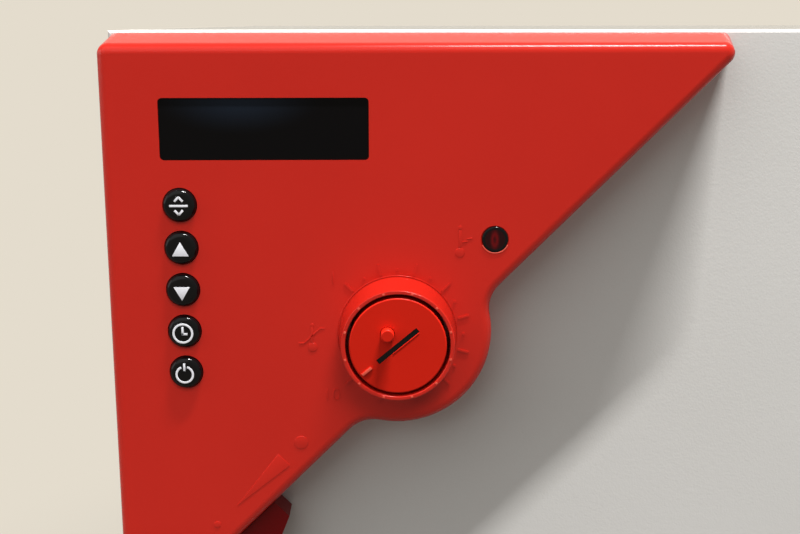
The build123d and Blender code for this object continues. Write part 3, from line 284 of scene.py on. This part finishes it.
def lamp_lens():
    material, shader = new_finish("dark_red_lamp_lens")
    low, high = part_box("indicator_lens")
    centre = (low + high) / 2
    spread = (1 / (ring_reach_across * millimetre), 0, 1 / (ring_reach_down * millimetre))
    distance = shader.distance(shader.point(spread, centre=tuple(centre)))
    # Painted glow: a lighter red ring round a darker core, in the lens's base colour.
    painted_glow = shader.fade(distance, 0.2, 1.1, at_near=1.0, at_far=0.0)
    core = shader.fade(distance, 0.1, 0.6, at_near=0.8, at_far=0.0)
    ripple = shader.noise(size=0.8)
    shader.surface({
        "Base Color": shader.mix(painted_glow - core, colour(34, 3, 6), colour(112, 4, 10)),
        "Roughness": ripple * 0.08 + 0.1,
        "Normal": shader.bump(ripple, 0.02),
        "IOR": 1.2,
    })
    return material


finishes["window_acrylic"] = smoked_pane()
finishes["lens_red"] = lamp_lens()
print("display pane", round(window_width / millimetre), "by", round(window_height / millimetre), "mm")

# %% [markdown]
# The door and the cabinet are steel sheet with a light grey powder coat. Powder melts into a fine orange
# peel, only some hundredths of a millimetre deep. Moving the mesh itself would take millions of faces, so
# two sizes of soft noise in the bump make that skin, and the colour hardly changes.

# %% Powder coat


def powder_coat(name, base, shade, roughness, peel):
    """A powder coat's finish, with the depth of its orange peel in millimetres."""
    material, shader = new_finish(name)
    skin = shader.noise(size=0.9) * 0.7 + shader.noise(size=2.6) * 0.3
    cloud = shader.noise(size=140)
    shader.surface({
        "Base Color": shader.mix(cloud * 0.6 + skin * 0.4, base, shade),
        "Roughness": skin * 0.1 + roughness,
        "Normal": shader.bump(skin, peel),
        "Specular IOR Level": 0.35,
    })
    return material


finishes["door_paint"] = powder_coat("grey_door_powder_coat", colour(213, 211, 207), colour(203, 201, 197),
                                     roughness=0.24, peel=0.05)
finishes["cabinet_paint"] = powder_coat("grey_cabinet_powder_coat", colour(216, 215, 212),
                                        colour(206, 206, 204), roughness=0.1, peel=0.008)
print(len(finishes), "finishes with the powder coats")

# %% [markdown]
# Bare metals differ by how they were worked. Stainless sheet is brushed, and its noise is drawn out along
# one direction: that shows the brush's own lines, which a streaked highlight alone wouldn't. Zinc has a
# faint spangle, for which Voronoi cells are the nearest pattern. Bright wire is nearly a mirror, and cast
# metal is grainy.

# %% Metals
as_it_is = (1, 1, 1)


def metal(name, base, shade, roughness, grain_size, grain_depth, stretch=as_it_is, gloss_wander=0.15):
    """A metal's finish. A stretch below 1 draws its grain out along that direction."""
    material, shader = new_finish(name)
    grain = shader.noise(size=grain_size, detail=3, stretch=stretch)
    shader.surface({
        "Base Color": shader.mix(grain, base, shade),
        "Metallic": 1.0,
        "Roughness": (grain - 0.5) * gloss_wander + roughness,
        "Normal": shader.bump(grain, grain_depth),
    })
    return material


def spangled_zinc():
    material, shader = new_finish("zinc_plate")
    flakes = shader.node("ShaderNodeTexVoronoi", None, {"Vector": shader.point(), "Scale": 160}, "Color")
    tone = shader.node("ShaderNodeSeparateColor", None, {"Color": flakes})
    fine = shader.noise(size=1.2, detail=3)
    shader.surface({
        "Base Color": shader.mix(tone * 0.6 + fine * 0.4, colour(190, 192, 196), colour(168, 171, 176)),
        "Metallic": 1.0,
        "Roughness": tone * 0.12 + 0.3,
        "Normal": shader.bump(fine, 0.01),
    })
    return material


finishes["stainless"] = metal("brushed_stainless", colour(196, 196, 197), colour(178, 178, 180),
                              roughness=0.32, grain_size=0.5, grain_depth=0.01, stretch=(0.03, 1, 1))
finishes["chrome_wire"] = metal("bright_shelf_wire", colour(224, 224, 226), colour(206, 206, 209),
                                roughness=0.14, grain_size=2.5, grain_depth=0.004, gloss_wander=0.06)
finishes["brass_bush"] = metal("turned_brass", colour(206, 174, 102), colour(186, 152, 84),
                               roughness=0.26, grain_size=0.4, grain_depth=0.01, stretch=(1, 0.1, 1))
finishes["cast_aluminium"] = metal("cast_aluminium", colour(186, 188, 190), colour(160, 162, 165),
                                   roughness=0.48, grain_size=0.7, grain_depth=0.05)
finishes["zinc_steel"] = spangled_zinc()
print(len(finishes), "finishes with the metals")

# %% [markdown]
# Two more finishes belong to parts that only an open cover or a cut oven would show: the circuit board
# with its copper lines under green lacquer, and the mineral wool, a tangle of long thin fibres. Real lines
# and fibres would be thousands of tiny pieces. A brick pattern stands for the lines, and noise that is
# drawn out along the blanket for the fibres.

# %% Circuit board and mineral wool


def board_lacquer():
    material, shader = new_finish("green_board_lacquer")
    upright = (math.pi / 2, 0, 0)
    lines = shader.node("ShaderNodeTexBrick", {"offset": 0.5}, {
        "Vector": shader.point(stretch=(1, 0, 1), turn=upright), "Color1": colour(22, 96, 52),
        "Color2": colour(26, 104, 58), "Mortar": colour(52, 132, 76), "Scale": 120, "Mortar Size": 0.05})
    haze = shader.noise(size=4)
    shader.surface({
        "Base Color": shader.mix(haze * 0.3, lines, colour(16, 78, 42)),
        "Roughness": haze * 0.1 + 0.28,
    })
    return material


def wool():
    material, shader = new_finish("mineral_wool")
    fibres = shader.noise(size=1.2, detail=5, stretch=(0.25, 1, 2.0), roughness=0.7)
    tufts = shader.noise(size=14, detail=3)
    shader.surface({
        "Base Color": shader.mix(fibres * 0.6 + tufts * 0.4, colour(214, 198, 150), colour(160, 142, 98)),
        "Roughness": fibres * 0.1 + 0.88,
        "Normal": shader.bump(fibres, 0.8),
    })
    return material


finishes["board_green"] = board_lacquer()
finishes["mineral_wool"] = wool()
print(len(finishes), "finishes in all")

# %% [markdown]
# The record says which finish slot each solid part belongs to, so one loop dresses them all. Naming the
# parts one by one would leave room for one that is forgotten.

# %% Dress the solid parts
for part in frame["record"]["subparts"]:
    solid = frame["nodes"][part["node"]]
    solid.material_slots[0].material = finishes[part["material_slot"]]

# %% [markdown]
# The picture was taken from in front, a little above the cover, looking down by twelve degrees. A camera
# can be placed by eye, but so close to the object a centimetre shows. The lens and the place were therefore
# worked out from the corners of the cover, the window and the keys.

# %% Camera
frame_width = 800
focal_pixels = 1154.7
sensor_width = 36
nearest_seen = 0.01
pitch = math.radians(12.002)
yaw = math.radians(0.643)
roll = math.radians(-0.056)
camera_place = Vector((-0.19383, -0.81073, 0.62082))

forward = Vector((math.sin(yaw) * math.cos(pitch), math.cos(yaw) * math.cos(pitch), -math.sin(pitch)))
level_right = Vector((math.cos(yaw), -math.sin(yaw), 0))
level_up = level_right.cross(forward)
right = math.cos(roll) * level_right + math.sin(roll) * level_up
up = math.cos(roll) * level_up - math.sin(roll) * level_right

camera_data = bpy.data.cameras.new("close_view")
camera_data.sensor_width = sensor_width
camera_data.lens = focal_pixels * sensor_width / frame_width
camera_data.clip_start = nearest_seen
camera = bpy.data.objects.new("close_view", camera_data)
camera.matrix_world = Matrix.Translation(camera_place) @ Matrix((right, up, -forward)).transposed().to_4x4()
bpy.context.collection.objects.link(camera)
bpy.context.scene.camera = camera
bpy.context.scene.view_settings.view_transform = "Standard"
print("lens", round(camera_data.lens, 2), "mm")

# %% [markdown]
# The oven stands on a plain pale floor. A curved backdrop would hide the horizon from one side only. A wide
# disc does it from all sides, because far away it fades into the sky's own beige. To the light that bounces
# the floor is darker than to the eye, because a bright floor would fill the soft shadow that the cover
# throws on the door.

# %% Floor
backdrop_colour = colour(228, 220, 205)
floor_colour = colour(236, 229, 216)
bounce_colour = colour(112, 108, 102)
floor_radius = 40
floor_corners = 96
fade_start = 0.4
fade_end = 0.95
near_haze = 0.3
full_haze = 1.0

floor_mesh = bmesh.new()
bmesh.ops.create_circle(floor_mesh, cap_ends=True, radius=floor_radius, segments=floor_corners)
floor_data = bpy.data.meshes.new("pale_floor")
floor_mesh.to_mesh(floor_data)
floor_mesh.free()
floor = bpy.data.objects.new("pale_floor", floor_data)
bpy.context.collection.objects.link(floor)

floor_finish, floor_shader = new_finish("pale_floor_finish")
bounced = floor_shader.node("ShaderNodeLightPath", output="Is Diffuse Ray")
ground = floor_shader.node("ShaderNodeBsdfPrincipled", None, {
    "Base Color": floor_shader.mix(bounced, floor_colour, bounce_colour), "Roughness": 0.8,
    "Specular IOR Level": 0.1})
haze = floor_shader.node("ShaderNodeEmission", None, {"Color": backdrop_colour, "Strength": 1.0})
floor_distance = floor_shader.distance(floor_shader.point())
far = floor_shader.fade(floor_distance, fade_start, fade_end, at_near=near_haze, at_far=full_haze)
haze_share = far * (1 - bounced)
floor_seen = floor_shader.node("ShaderNodeMixShader", None, {0: haze_share, 1: ground, 2: haze})
floor_shader.node("ShaderNodeOutputMaterial", None, {"Surface": floor_seen})
floor_data.materials.append(floor_finish)
print("floor", 2 * floor_radius, "m across")

# %% [markdown]
# The sky could be one even colour. But bright enough for a backdrop, it would wash out every shadow. So it
# has two: the camera, metal and glass see the backdrop's pale beige, and everything else is filled by a
# weaker even light.

# %% Sky
fill_colour = (1, 0.985, 0.97, 1)
sky_fill = 0.3

sky = bpy.data.worlds.new("pale_sky")
bpy.context.scene.world = sky
sky_shader = Shader(sky)
fill = sky_shader.node("ShaderNodeBackground", None, {"Color": fill_colour, "Strength": sky_fill})
ray_outputs = ("Is Camera Ray", "Is Glossy Ray", "Is Transmission Ray")
seen = [sky_shader.node("ShaderNodeLightPath", output=name) for name in ray_outputs]
seen_at_all = (seen[0] + seen[1] + seen[2]) > 0.5
shown = sky_shader.node("ShaderNodeBackground", None, {"Color": backdrop_colour, "Strength": 1.0})
mixed = sky_shader.node("ShaderNodeMixShader", None, {0: seen_at_all, 1: fill, 2: shown})
sky_shader.node("ShaderNodeOutputWorld", None, {"Surface": mixed})
print("sky fill", sky_fill)

# %% [markdown]
# Raised signs could be painted with a bump, but a bump throws no shadow and has no edge. So they are drawn
# flat, in millimetres on the cover's face, and lifted out of it later. Bars, rings and discs are enough for
# all of them.

# %% Drawing tools for raised signs


def bar(drawing, start, end, width):
    """A flat bar from one point of the drawing to another."""
    start = Vector(start)
    end = Vector(end)
    middle = (start + end) / 2
    along = end - start
    turn = Matrix.Rotation(math.atan2(along.y, along.x), 4, "Z")
    size = Matrix.Diagonal((along.length / 2, width / 2, 1, 1))
    place = Matrix.Translation((middle.x, middle.y, 0)) @ turn @ size
    bmesh.ops.create_grid(drawing, x_segments=1, y_segments=1, size=1, matrix=place)


def disc(drawing, centre, radius, corners=20, turn=0.0):
    """A flat disc, or with three corners a triangle."""
    place = Matrix.Translation((*centre, 0)) @ Matrix.Rotation(turn, 4, "Z")
    bmesh.ops.create_circle(drawing, cap_ends=True, radius=radius, segments=corners, matrix=place)


def ring(drawing, centre, radius, width, start=0.0, sweep=360.0, steps=40):
    """A flat ring or arc, made by spinning a short line round its centre."""
    direction = Vector((math.cos(math.radians(start)), math.sin(math.radians(start)), 0))
    middle = Vector((*centre, 0))
    ends = [drawing.verts.new(middle + direction * (radius + side * width / 2)) for side in (-1, 1)]
    line = drawing.edges.new(ends)
    bmesh.ops.spin(drawing, geom=[*ends, line], cent=middle, axis=(0, 0, 1), angle=math.radians(sweep),
                   steps=steps, use_merge=sweep == 360.0)


print("drawing tools: bar, disc and ring")

# %% [markdown]
# A drawing gets its relief in one go, where each bar could be lifted alone: that way the strokes of a sign
# end at one height. The lift leaves a small round on the upper edge, where two faces meet at more than a
# radian, and that round catches the light on a moulded sign. Pieces in the cover's own slot are listed as
# they are made, since they share the cover's lamps.

# %% From a drawing to a piece
corner_angle = 1
edge_steps = 3
weld_distance = 0.0001
smooth_below = math.radians(35)
cover_pieces = [frame["nodes"]["panel_shell"]]


def lift(drawing, height, edge):
    """Give a flat drawing its relief, with a rounded upper edge."""
    flat_faces = drawing.faces[:]
    lifted = bmesh.ops.extrude_face_region(drawing, geom=flat_faces)["geom"]
    top_points = [item for item in lifted if isinstance(item, bmesh.types.BMVert)]
    bmesh.ops.translate(drawing, verts=top_points, vec=(0, 0, height))
    bmesh.ops.recalc_face_normals(drawing, faces=drawing.faces)
    rims = [line for line in drawing.edges if line.calc_face_angle(0) > corner_angle and
            min(point.co.z for point in line.verts) > height / 2]
    bmesh.ops.bevel(drawing, geom=rims, offset=edge, segments=edge_steps, profile=0.5, affect="EDGES",
                    material=-1)


def finish_piece(name, mesh, place, body, slot, finish=None):
    """Put a finished mesh in its place on the body that carries it, in the slot's finish or its own."""
    bmesh.ops.remove_doubles(mesh, verts=mesh.verts, dist=weld_distance)
    bmesh.ops.recalc_face_normals(mesh, faces=mesh.faces)
    mesh.transform(place)
    data = bpy.data.meshes.new(name)
    mesh.to_mesh(data)
    mesh.free()
    data.materials.append(finish or finishes[slot])
    data.shade_smooth()
    data.set_sharp_from_angle(angle=smooth_below)
    piece = bpy.data.objects.new(name, data)
    bpy.context.collection.objects.link(piece)
    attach(piece, body)
    if slot == "cover_plastic":
        cover_pieces.append(piece)
    print(name, len(data.polygons), "faces on", body)


print("pieces in the cover's slot so far:", len(cover_pieces))

# %% [markdown]
# Twelve short marks stand on the rim of the dial's collar, halfway between its upright and level lines, one
# every thirty degrees, in line with the marks of the scale around it. They are coloured a lighter red, a
# painted highlight where light catches them. One mark and an array would do as well. A loop draws them all
# in the same flat drawing, so they stay one piece.

# %% Marks on the collar's rim
dial_place = Vector((128.1, -129.2))
mark_count = 12
mark_radius = 23.6
mark_length = 0.9
mark_width = 1.0
mark_relief = 0.25
mark_edge = 0.1
mark_sinking = 0.05

rim_marks = bmesh.new()
for step in range(mark_count):
    angle = 2 * math.pi * (step + 0.5) / mark_count
    outward = Vector((math.cos(angle), math.sin(angle)))
    inner_end = dial_place + outward * (mark_radius - mark_length / 2)
    outer_end = dial_place + outward * (mark_radius + mark_length / 2)
    bar(rim_marks, inner_end, outer_end, mark_width)
lift(rim_marks, mark_relief, mark_edge)

# A light red for painted highlights on the collar's rim marks and the lamp's lip; the pointer's top is
# lighter in it too.
light_red, light_red_shader = new_finish("light_red_painted_highlight")
highlight_grain = light_red_shader.noise(size=0.7)
light_red_shader.surface({
    "Base Color": light_red_shader.mix(highlight_grain, colour(228, 92, 72), colour(214, 72, 54)),
    "Roughness": highlight_grain * 0.1 + 0.4,
})
# The rim marks are coloured light red: a painted highlight.
finish_piece("collar_rim_marks", rim_marks, moved_out(collar_top, -mark_sinking), "door", "cover_plastic",
             light_red)

# %% [markdown]
# A fine raised line runs round the collar's foot, a hair away from it, where two halves of the mould met.
# A round curve with a bevel could follow it. The flat ring gets the same rounded edge as the other signs,
# and needs no second way of working.

# %% Line round the collar's foot
foot_line_radius = 26.75
foot_line_width = 0.45
foot_line_relief = 0.4
foot_line_edge = 0.18
foot_line_steps = 96
piece_sinking = 0.1

foot_line = bmesh.new()
ring(foot_line, dial_place, foot_line_radius, foot_line_width, steps=foot_line_steps)
lift(foot_line, foot_line_relief, foot_line_edge)
finish_piece("collar_foot_line", foot_line, moved_out(on_cover, -piece_sinking), "door", "cover_plastic")

# %% [markdown]
# The dial is turned with a coin. The deep slot lies in shade, so a black bar sits down in it as painted
# shade;
# coins have raised a small lip along the slot's lower edge, and the pointer has a lighter top, in the light
# red of the painted highlights. The slot itself is cut in the solid disc, so thin bars in it, beside it and
# on the pointer are enough, where painting the disc would need a mask for each. They all turn with the dial,
# so they ride on it.

# %% Coin slot and top of the pointer
slot_angle = math.radians(39.8)
slot_direction = Vector((math.cos(slot_angle), math.sin(slot_angle)))
slot_half_length = 11.15
slot_width = 2.25
shade_bar_below_face = 0.25
shade_bar_height = 2.1
shade_bar_edge = 0.1
slot_lip_offset = 1.36
slot_lip_start = -0.35
slot_lip_end = 0.97
slot_lip_width = 0.42
slot_lip_relief = 0.3
slot_lip_edge = 0.15
pointer_start = 15.0
pointer_end = 20.0
pointer_width = 1.2
pointer_relief = 0.5
worn_height = 0.12
worn_edge = 0.05
worn_sinking = 0.04
half_slot = slot_direction * slot_half_length

# Painted shade: a black bar down in the slot, where the slot lies in shade.
slot_shade_bar = bmesh.new()
bar(slot_shade_bar, dial_place - half_slot, dial_place + half_slot, slot_width)
lift(slot_shade_bar, shade_bar_height, shade_bar_edge)
shade_bar_place = moved_out(collar_top, -shade_bar_below_face - shade_bar_height)
finish_piece("dial_slot_painted_shade", slot_shade_bar, shade_bar_place, "dial", "button_black")

below_slot = dial_place + Vector((slot_direction.y, -slot_direction.x)) * slot_lip_offset
slot_lip = bmesh.new()
bar(slot_lip, below_slot + half_slot * slot_lip_start, below_slot + half_slot * slot_lip_end, slot_lip_width)
lift(slot_lip, slot_lip_relief, slot_lip_edge)
finish_piece("dial_slot_lip", slot_lip, moved_out(collar_top, -piece_sinking), "dial", "dial_plastic")

# The pointer's top is lighter, in the same light red.
pointer_top = bmesh.new()
bar(pointer_top, dial_place - slot_direction * pointer_start, dial_place - slot_direction * pointer_end,
    pointer_width)
lift(pointer_top, worn_height, worn_edge)
finish_piece("dial_pointer_top", pointer_top, moved_out(collar_top, pointer_relief - worn_sinking), "dial",
             "dial_plastic", light_red)

# %% [markdown]
# The scale starts at 1 and ends at 10. Figures could be drawn from bars and rings too, but Blender's own
# font gives better ones. They are set as solid text, made a mesh, and only then put on the cover, because
# the export wants each piece unturned, with its place in its mesh.

# %% Figures of the scale
figure_height = 6.0
font_size = 1.35 * figure_height
figure_thickness = 0.35
figure_edge = 0.1
stroke_thinning = 0.22
figure_middle = 0.1


def figure(name, text, centre):
    """One raised figure of the scale, centred on a point of the cover."""
    lettering = bpy.data.curves.new(name, "FONT")
    lettering.body = text
    lettering.size = font_size
    lettering.align_x = "CENTER"
    lettering.align_y = "CENTER"
    lettering.extrude = figure_thickness / 2
    lettering.bevel_depth = figure_edge
    lettering.offset = -stroke_thinning
    carrier = bpy.data.objects.new(name + "_text", lettering)
    bpy.context.collection.objects.link(carrier)
    bpy.context.view_layer.update()
    finished_text = carrier.evaluated_get(bpy.context.evaluated_depsgraph_get())
    mesh = bmesh.new()
    mesh.from_mesh(bpy.data.meshes.new_from_object(finished_text))
    bpy.data.objects.remove(carrier)
    finish_piece(name, mesh, on_cover @ Matrix.Translation((*centre, figure_middle)), "door", "cover_plastic")


figure("scale_figure_one", "1", (99.7, -103.7))
figure("scale_figure_ten", "10", (98.5, -157.5))

# %% [markdown]
# Small pictograms are raised in the cover's own red: a thermometer beside the lamp, a crossed thermometer
# beside the scale, and by the air flap a wedge that grows from a small dot to a large one. Each could be
# one traced outline. Drawn from a few bars and discs that overlap, it can be changed stroke by stroke.

# %% Pictograms of the cover
sign_relief = 0.26
sign_edge = 0.12
bulb_radius = 2.1
short_line = 0.55
crossing_line = 0.6


def thermometer(drawing, bulb, foot, top, stem_width, tip, tip_radius):
    """A round bulb, a stem from its foot to its top, and a round tip."""
    disc(drawing, bulb, bulb_radius)
    bar(drawing, foot, top, stem_width)
    disc(drawing, tip, tip_radius)


def raise_sign(name, drawing):
    """Lift a pictogram out of the cover's face."""
    lift(drawing, sign_relief, sign_edge)
    finish_piece(name, drawing, on_cover, "door", "cover_plastic")


lamp_sign = bmesh.new()
thermometer(lamp_sign, (155.6, -92.1), (155.7, -89.9), (155.7, -81.9), 1.3, (155.7, -81.0), 0.85)
bar(lamp_sign, (158.7, -86.1), (161.0, -85.7), short_line)
bar(lamp_sign, (156.7, -87.5), (159.1, -87.1), short_line)
raise_sign("lamp_pictogram", lamp_sign)

limit_sign = bmesh.new()
thermometer(limit_sign, (90.2, -135.0), (90.0, -132.9), (90.0, -125.6), 1.2, (90.1, -124.9), 0.8)
bar(limit_sign, (84.1, -133.2), (86.6, -133.2), crossing_line)
bar(limit_sign, (86.3, -133.3), (93.6, -126.3), crossing_line)
bar(limit_sign, (93.3, -126.4), (95.6, -126.4), crossing_line)
raise_sign("limit_pictogram", limit_sign)

air_sign = bmesh.new()
wedge_corners = ((54.2, -210.6, 0), (78.9, -191.0, 0), (73.6, -185.6, 0))
air_sign.faces.new([air_sign.verts.new(corner) for corner in wedge_corners])
disc(air_sign, (84.2, -180.0), 3.1, corners=32)
disc(air_sign, (44.8, -219.9), 1.6)
raise_sign("air_flap_pictogram", air_sign)

# %% [markdown]
# The keys carry white printed signs on their flat tops: a value selector, an arrow up, an arrow down, a
# clock and the usual power sign. A mask in the keys' finish could paint them, but their edges would blur
# close by, so they are thin pieces. Each is drawn about the middle of its key.

# %% Signs for the keys
print_line = 0.95


def value_sign(drawing):
    bar(drawing, (-4.0, 0), (4.0, 0), print_line)
    for side in (-1, 1):
        bar(drawing, (side * 1.8, side * 1.9), (0, side * 3.9), print_line)
        bar(drawing, (-side * 1.8, side * 1.9), (0, side * 3.9), print_line)


def arrow_up(drawing):
    disc(drawing, (-0.1, -1.2), 4.2, corners=3)


def arrow_down(drawing):
    disc(drawing, (-0.1, -0.3), 4.1, corners=3, turn=math.pi)


def clock_sign(drawing):
    ring(drawing, (-0.4, -0.4), 4.15, print_line)
    bar(drawing, (-0.5, -1.1), (-0.5, 2.6), print_line)
    bar(drawing, (-0.9, -0.7), (1.6, -0.7), print_line)


def power_sign(drawing):
    ring(drawing, (-0.3, -0.5), 3.65, print_line, start=114, sweep=318)
    bar(drawing, (-0.4, 1.2), (-0.4, 4.7), print_line)


key_signs = (("mode_sign", "mode_key", value_sign), ("up_sign", "up_key", arrow_up),
             ("down_sign", "down_key", arrow_down), ("clock_sign", "clock_key", clock_sign),
             ("power_sign", "power_key", power_sign))
print(len(key_signs), "signs, from", key_signs[0][0], "to", key_signs[-1][0])

# %% [markdown]
# The signs are printed with white ink, a film that stands hardly proud of the key. They could all be one
# piece, but the keys are pressed one at a time. So each sign rides on its own key and travels with it.

# %% White print on the keys
key_x = 33.4
first_key_y = -70.6
key_pitch = 18.9
key_proud = 3.0
print_height = 0.12
print_edge = 0.04
print_sinking = 0.04

white_print, white_shader = new_finish("white_key_print")
print_grain = white_shader.noise(size=0.6)
white_shader.surface({
    "Base Color": white_shader.mix(print_grain, colour(232, 232, 236), colour(220, 220, 226)),
    "Roughness": print_grain * 0.1 + 0.4,
})


def key_sign(name, index, body, draw):
    """Draw one sign about a key's middle and lift it on the key's top."""
    drawing = bmesh.new()
    draw(drawing)
    lift(drawing, print_height, print_edge)
    key_middle = (key_x, first_key_y - index * key_pitch, key_proud - print_sinking)
    finish_piece(name, drawing, on_cover @ Matrix.Translation(key_middle), body, "button_black", white_print)


for index, (name, body, draw) in enumerate(key_signs):
    key_sign(name, index, body, draw)

# %% [markdown]
# A thin black snap ring holds the lamp's lens in the cover. A ready-made torus would be round on all sides,
# but this one is round outside and sharp inside. So each line of its cross section is spun round the lamp's
# middle, and the seams close when the piece is finished. A low lip stands below it, where the cover closes
# round the ring; it is coloured light red, a painted highlight where its upper edge catches the light.

# %% Snap ring of the lamp
lamp_place = (171.1, -86.3)
snap_section = ((5.75, -0.4), (5.75, 0), (5.62, 0.22), (5.4, 0.38), (5.1, 0.44), (4.45, 0.4), (4.45, -0.4))
snap_steps = 64
lamp_lip_radius = 6.05
lamp_lip_width = 0.5
lamp_lip_start = 205
lamp_lip_sweep = 130
lamp_lip_relief = 0.5
lamp_lip_edge = 0.2

snap_ring = bmesh.new()
section = [(lamp_place[0] + reach, lamp_place[1], rise) for reach, rise in snap_section]
for corners in zip(section, section[1:] + section[:1]):
    ends = [snap_ring.verts.new(corner) for corner in corners]
    line = snap_ring.edges.new(ends)
    bmesh.ops.spin(snap_ring, geom=[*ends, line], cent=(*lamp_place, 0), axis=(0, 0, 1),
                   angle=2 * math.pi, steps=snap_steps, use_merge=True)
finish_piece("lamp_snap_ring", snap_ring, on_cover, "door", "button_black")

# Painted highlight: the lip below the lamp is coloured light red.
lamp_highlight_lip = bmesh.new()
ring(lamp_highlight_lip, lamp_place, lamp_lip_radius, lamp_lip_width, lamp_lip_start, lamp_lip_sweep)
lift(lamp_highlight_lip, lamp_lip_relief, lamp_lip_edge)
finish_piece("lamp_highlight_lip", lamp_highlight_lip, moved_out(on_cover, -piece_sinking), "door", "cover_plastic", light_red)

# %% [markdown]
# Two kinds of lamp light the oven: suns, whose light is the same everywhere, and strips, which hang in one
# place. Both are turned with three axes that are worked out here. A constraint could aim them too, but then
# their place would depend on one more object. Light linking says which objects a lamp reaches, so a lamp
# can help one part of the picture and leave the rest alone.

# %% Helpers for lamps


def add_lamp(name, kind, energy, place, direction, own_x=Vector((1, 0, 0))):
    """A lamp that shines from a direction, turned so that its x axis follows own_x."""
    data = bpy.data.lights.new(name, kind)
    data.energy = energy
    lamp = bpy.data.objects.new(name, data)
    back = direction.normalized()
    above = back.cross(own_x).normalized()
    turn = Matrix((above.cross(back), above, back)).transposed()
    lamp.matrix_world = Matrix.Translation(place) @ turn.to_4x4()
    bpy.context.collection.objects.link(lamp)
    return lamp


def link_light(lamp, state, items):
    """Keep a lamp away from these objects (EXCLUDE), or keep it to them (INCLUDE)."""
    linked = bpy.data.collections.new("reach_of_" + lamp.name)
    for item in items:
        linked.objects.link(item)
    lamp.light_linking.receiver_collection = linked
    for item in linked.collection_objects:
        item.light_linking.link_state = state


cabinet_parts = [frame["nodes"][name] for name in frame["record"]["behaviour"]["bodies"]["cabinet"]]
door_skin = frame["nodes"]["door_outer_panel"]
housing = frame["nodes"]["housing_shell"]
print(len(cabinet_parts), "parts in the cabinet,", len(cover_pieces), "pieces in the cover's slot")

# %% [markdown]
# A wide soft sun in front and above lights all that the camera sees. Weaker suns stand beside and behind
# the oven: one gives the left edges their light rim, the others light the sides that face away. One strong
# sky could do that alone, but it would leave no shadow. The two that fill the cabinet's sides don't show in
# reflections, or the roof would mirror them. The cover has a narrow sun of its own from higher up, which
# gives back what its face loses because it gets only a share of the strip. The lamps come last, because
# their reach names the pieces that they light.

# %% Suns
soft_power = 1.0
soft_from = Vector((-0.4, -0.6, 0.7))
soft_width = 60
side_power = 0.7
side_from = Vector((-0.95, -0.12, 0.2))
side_width = 40
back_power = 1.1
back_from = Vector((0.85, 0.55, 0.5))
back_width = 16
right_power = 0.8
right_from = Vector((0.95, 0.37, 0.2))
cover_power = 1.25
cover_from = Vector((0.15, -0.7, 0.7))
cover_width = 25
suns_height = 3

suns = (("soft_sun", soft_power, soft_from, soft_width, True, "EXCLUDE", ()),
        ("side_sun", side_power, side_from, side_width, True, "EXCLUDE", (housing,)),
        ("back_sun", back_power, back_from, back_width, True, "EXCLUDE", cover_pieces),
        ("left_fill_sun", side_power, side_from, side_width, False, "EXCLUDE",
         (floor, door_skin, *cover_pieces)),
        ("right_fill_sun", right_power, right_from, side_width, False, "EXCLUDE", (floor, *cover_pieces)),
        ("cover_sun", cover_power, cover_from, cover_width, False, "INCLUDE", cover_pieces))
for name, power, direction, width, in_reflections, state, items in suns:
    sun = add_lamp(name, "SUN", power, Vector((0, 0, suns_height)), direction)
    sun.data.angle = math.radians(width)
    sun.visible_glossy = in_reflections
    if items:
        link_light(sun, state, items)
print(len(suns), "suns")

# %% [markdown]
# The shadow below the cover's slope is long, with a fairly crisp edge and an end that fades slowly. A sun
# would blur both alike. A narrow strip lamp blurs a shadow along its own length only, so one hangs almost
# over the door and runs off to the right, slowly nearing the door's plane. Its ends were worked out from
# where that shadow starts to fade. It lights the door and what sits on it, but not the floor or the
# cabinet, because the roof lies square under it and would burn out. Light that grazes the cover makes its
# dial collar glow red on the face around it, so the cover gets a weaker strip in the same place.

# %% Strip lamps
cover_share = 0.38
strip_power = 280
strip_width = 0.07
strip_height = 3.37
strip_left_end = Vector((0.04, -0.82, strip_height))
strip_right_end = Vector((0.82, -0.6685, strip_height))
strip_line = strip_right_end - strip_left_end
strip_middle = (strip_left_end + strip_right_end) / 2
from_above = Vector((0, 0, 1))

strips = (("ceiling_strip", strip_power, "EXCLUDE", (floor, *cabinet_parts, *cover_pieces)),
          ("cover_strip", strip_power * cover_share, "INCLUDE", cover_pieces))
for name, power, state, items in strips:
    strip = add_lamp(name, "AREA", power, strip_middle, from_above, strip_line)
    strip.data.shape = "RECTANGLE"
    strip.data.size = strip_line.length
    strip.data.size_y = strip_width
    link_light(strip, state, items)
print(len(strips), "strips,", round(strip_line.length, 2), "m long")
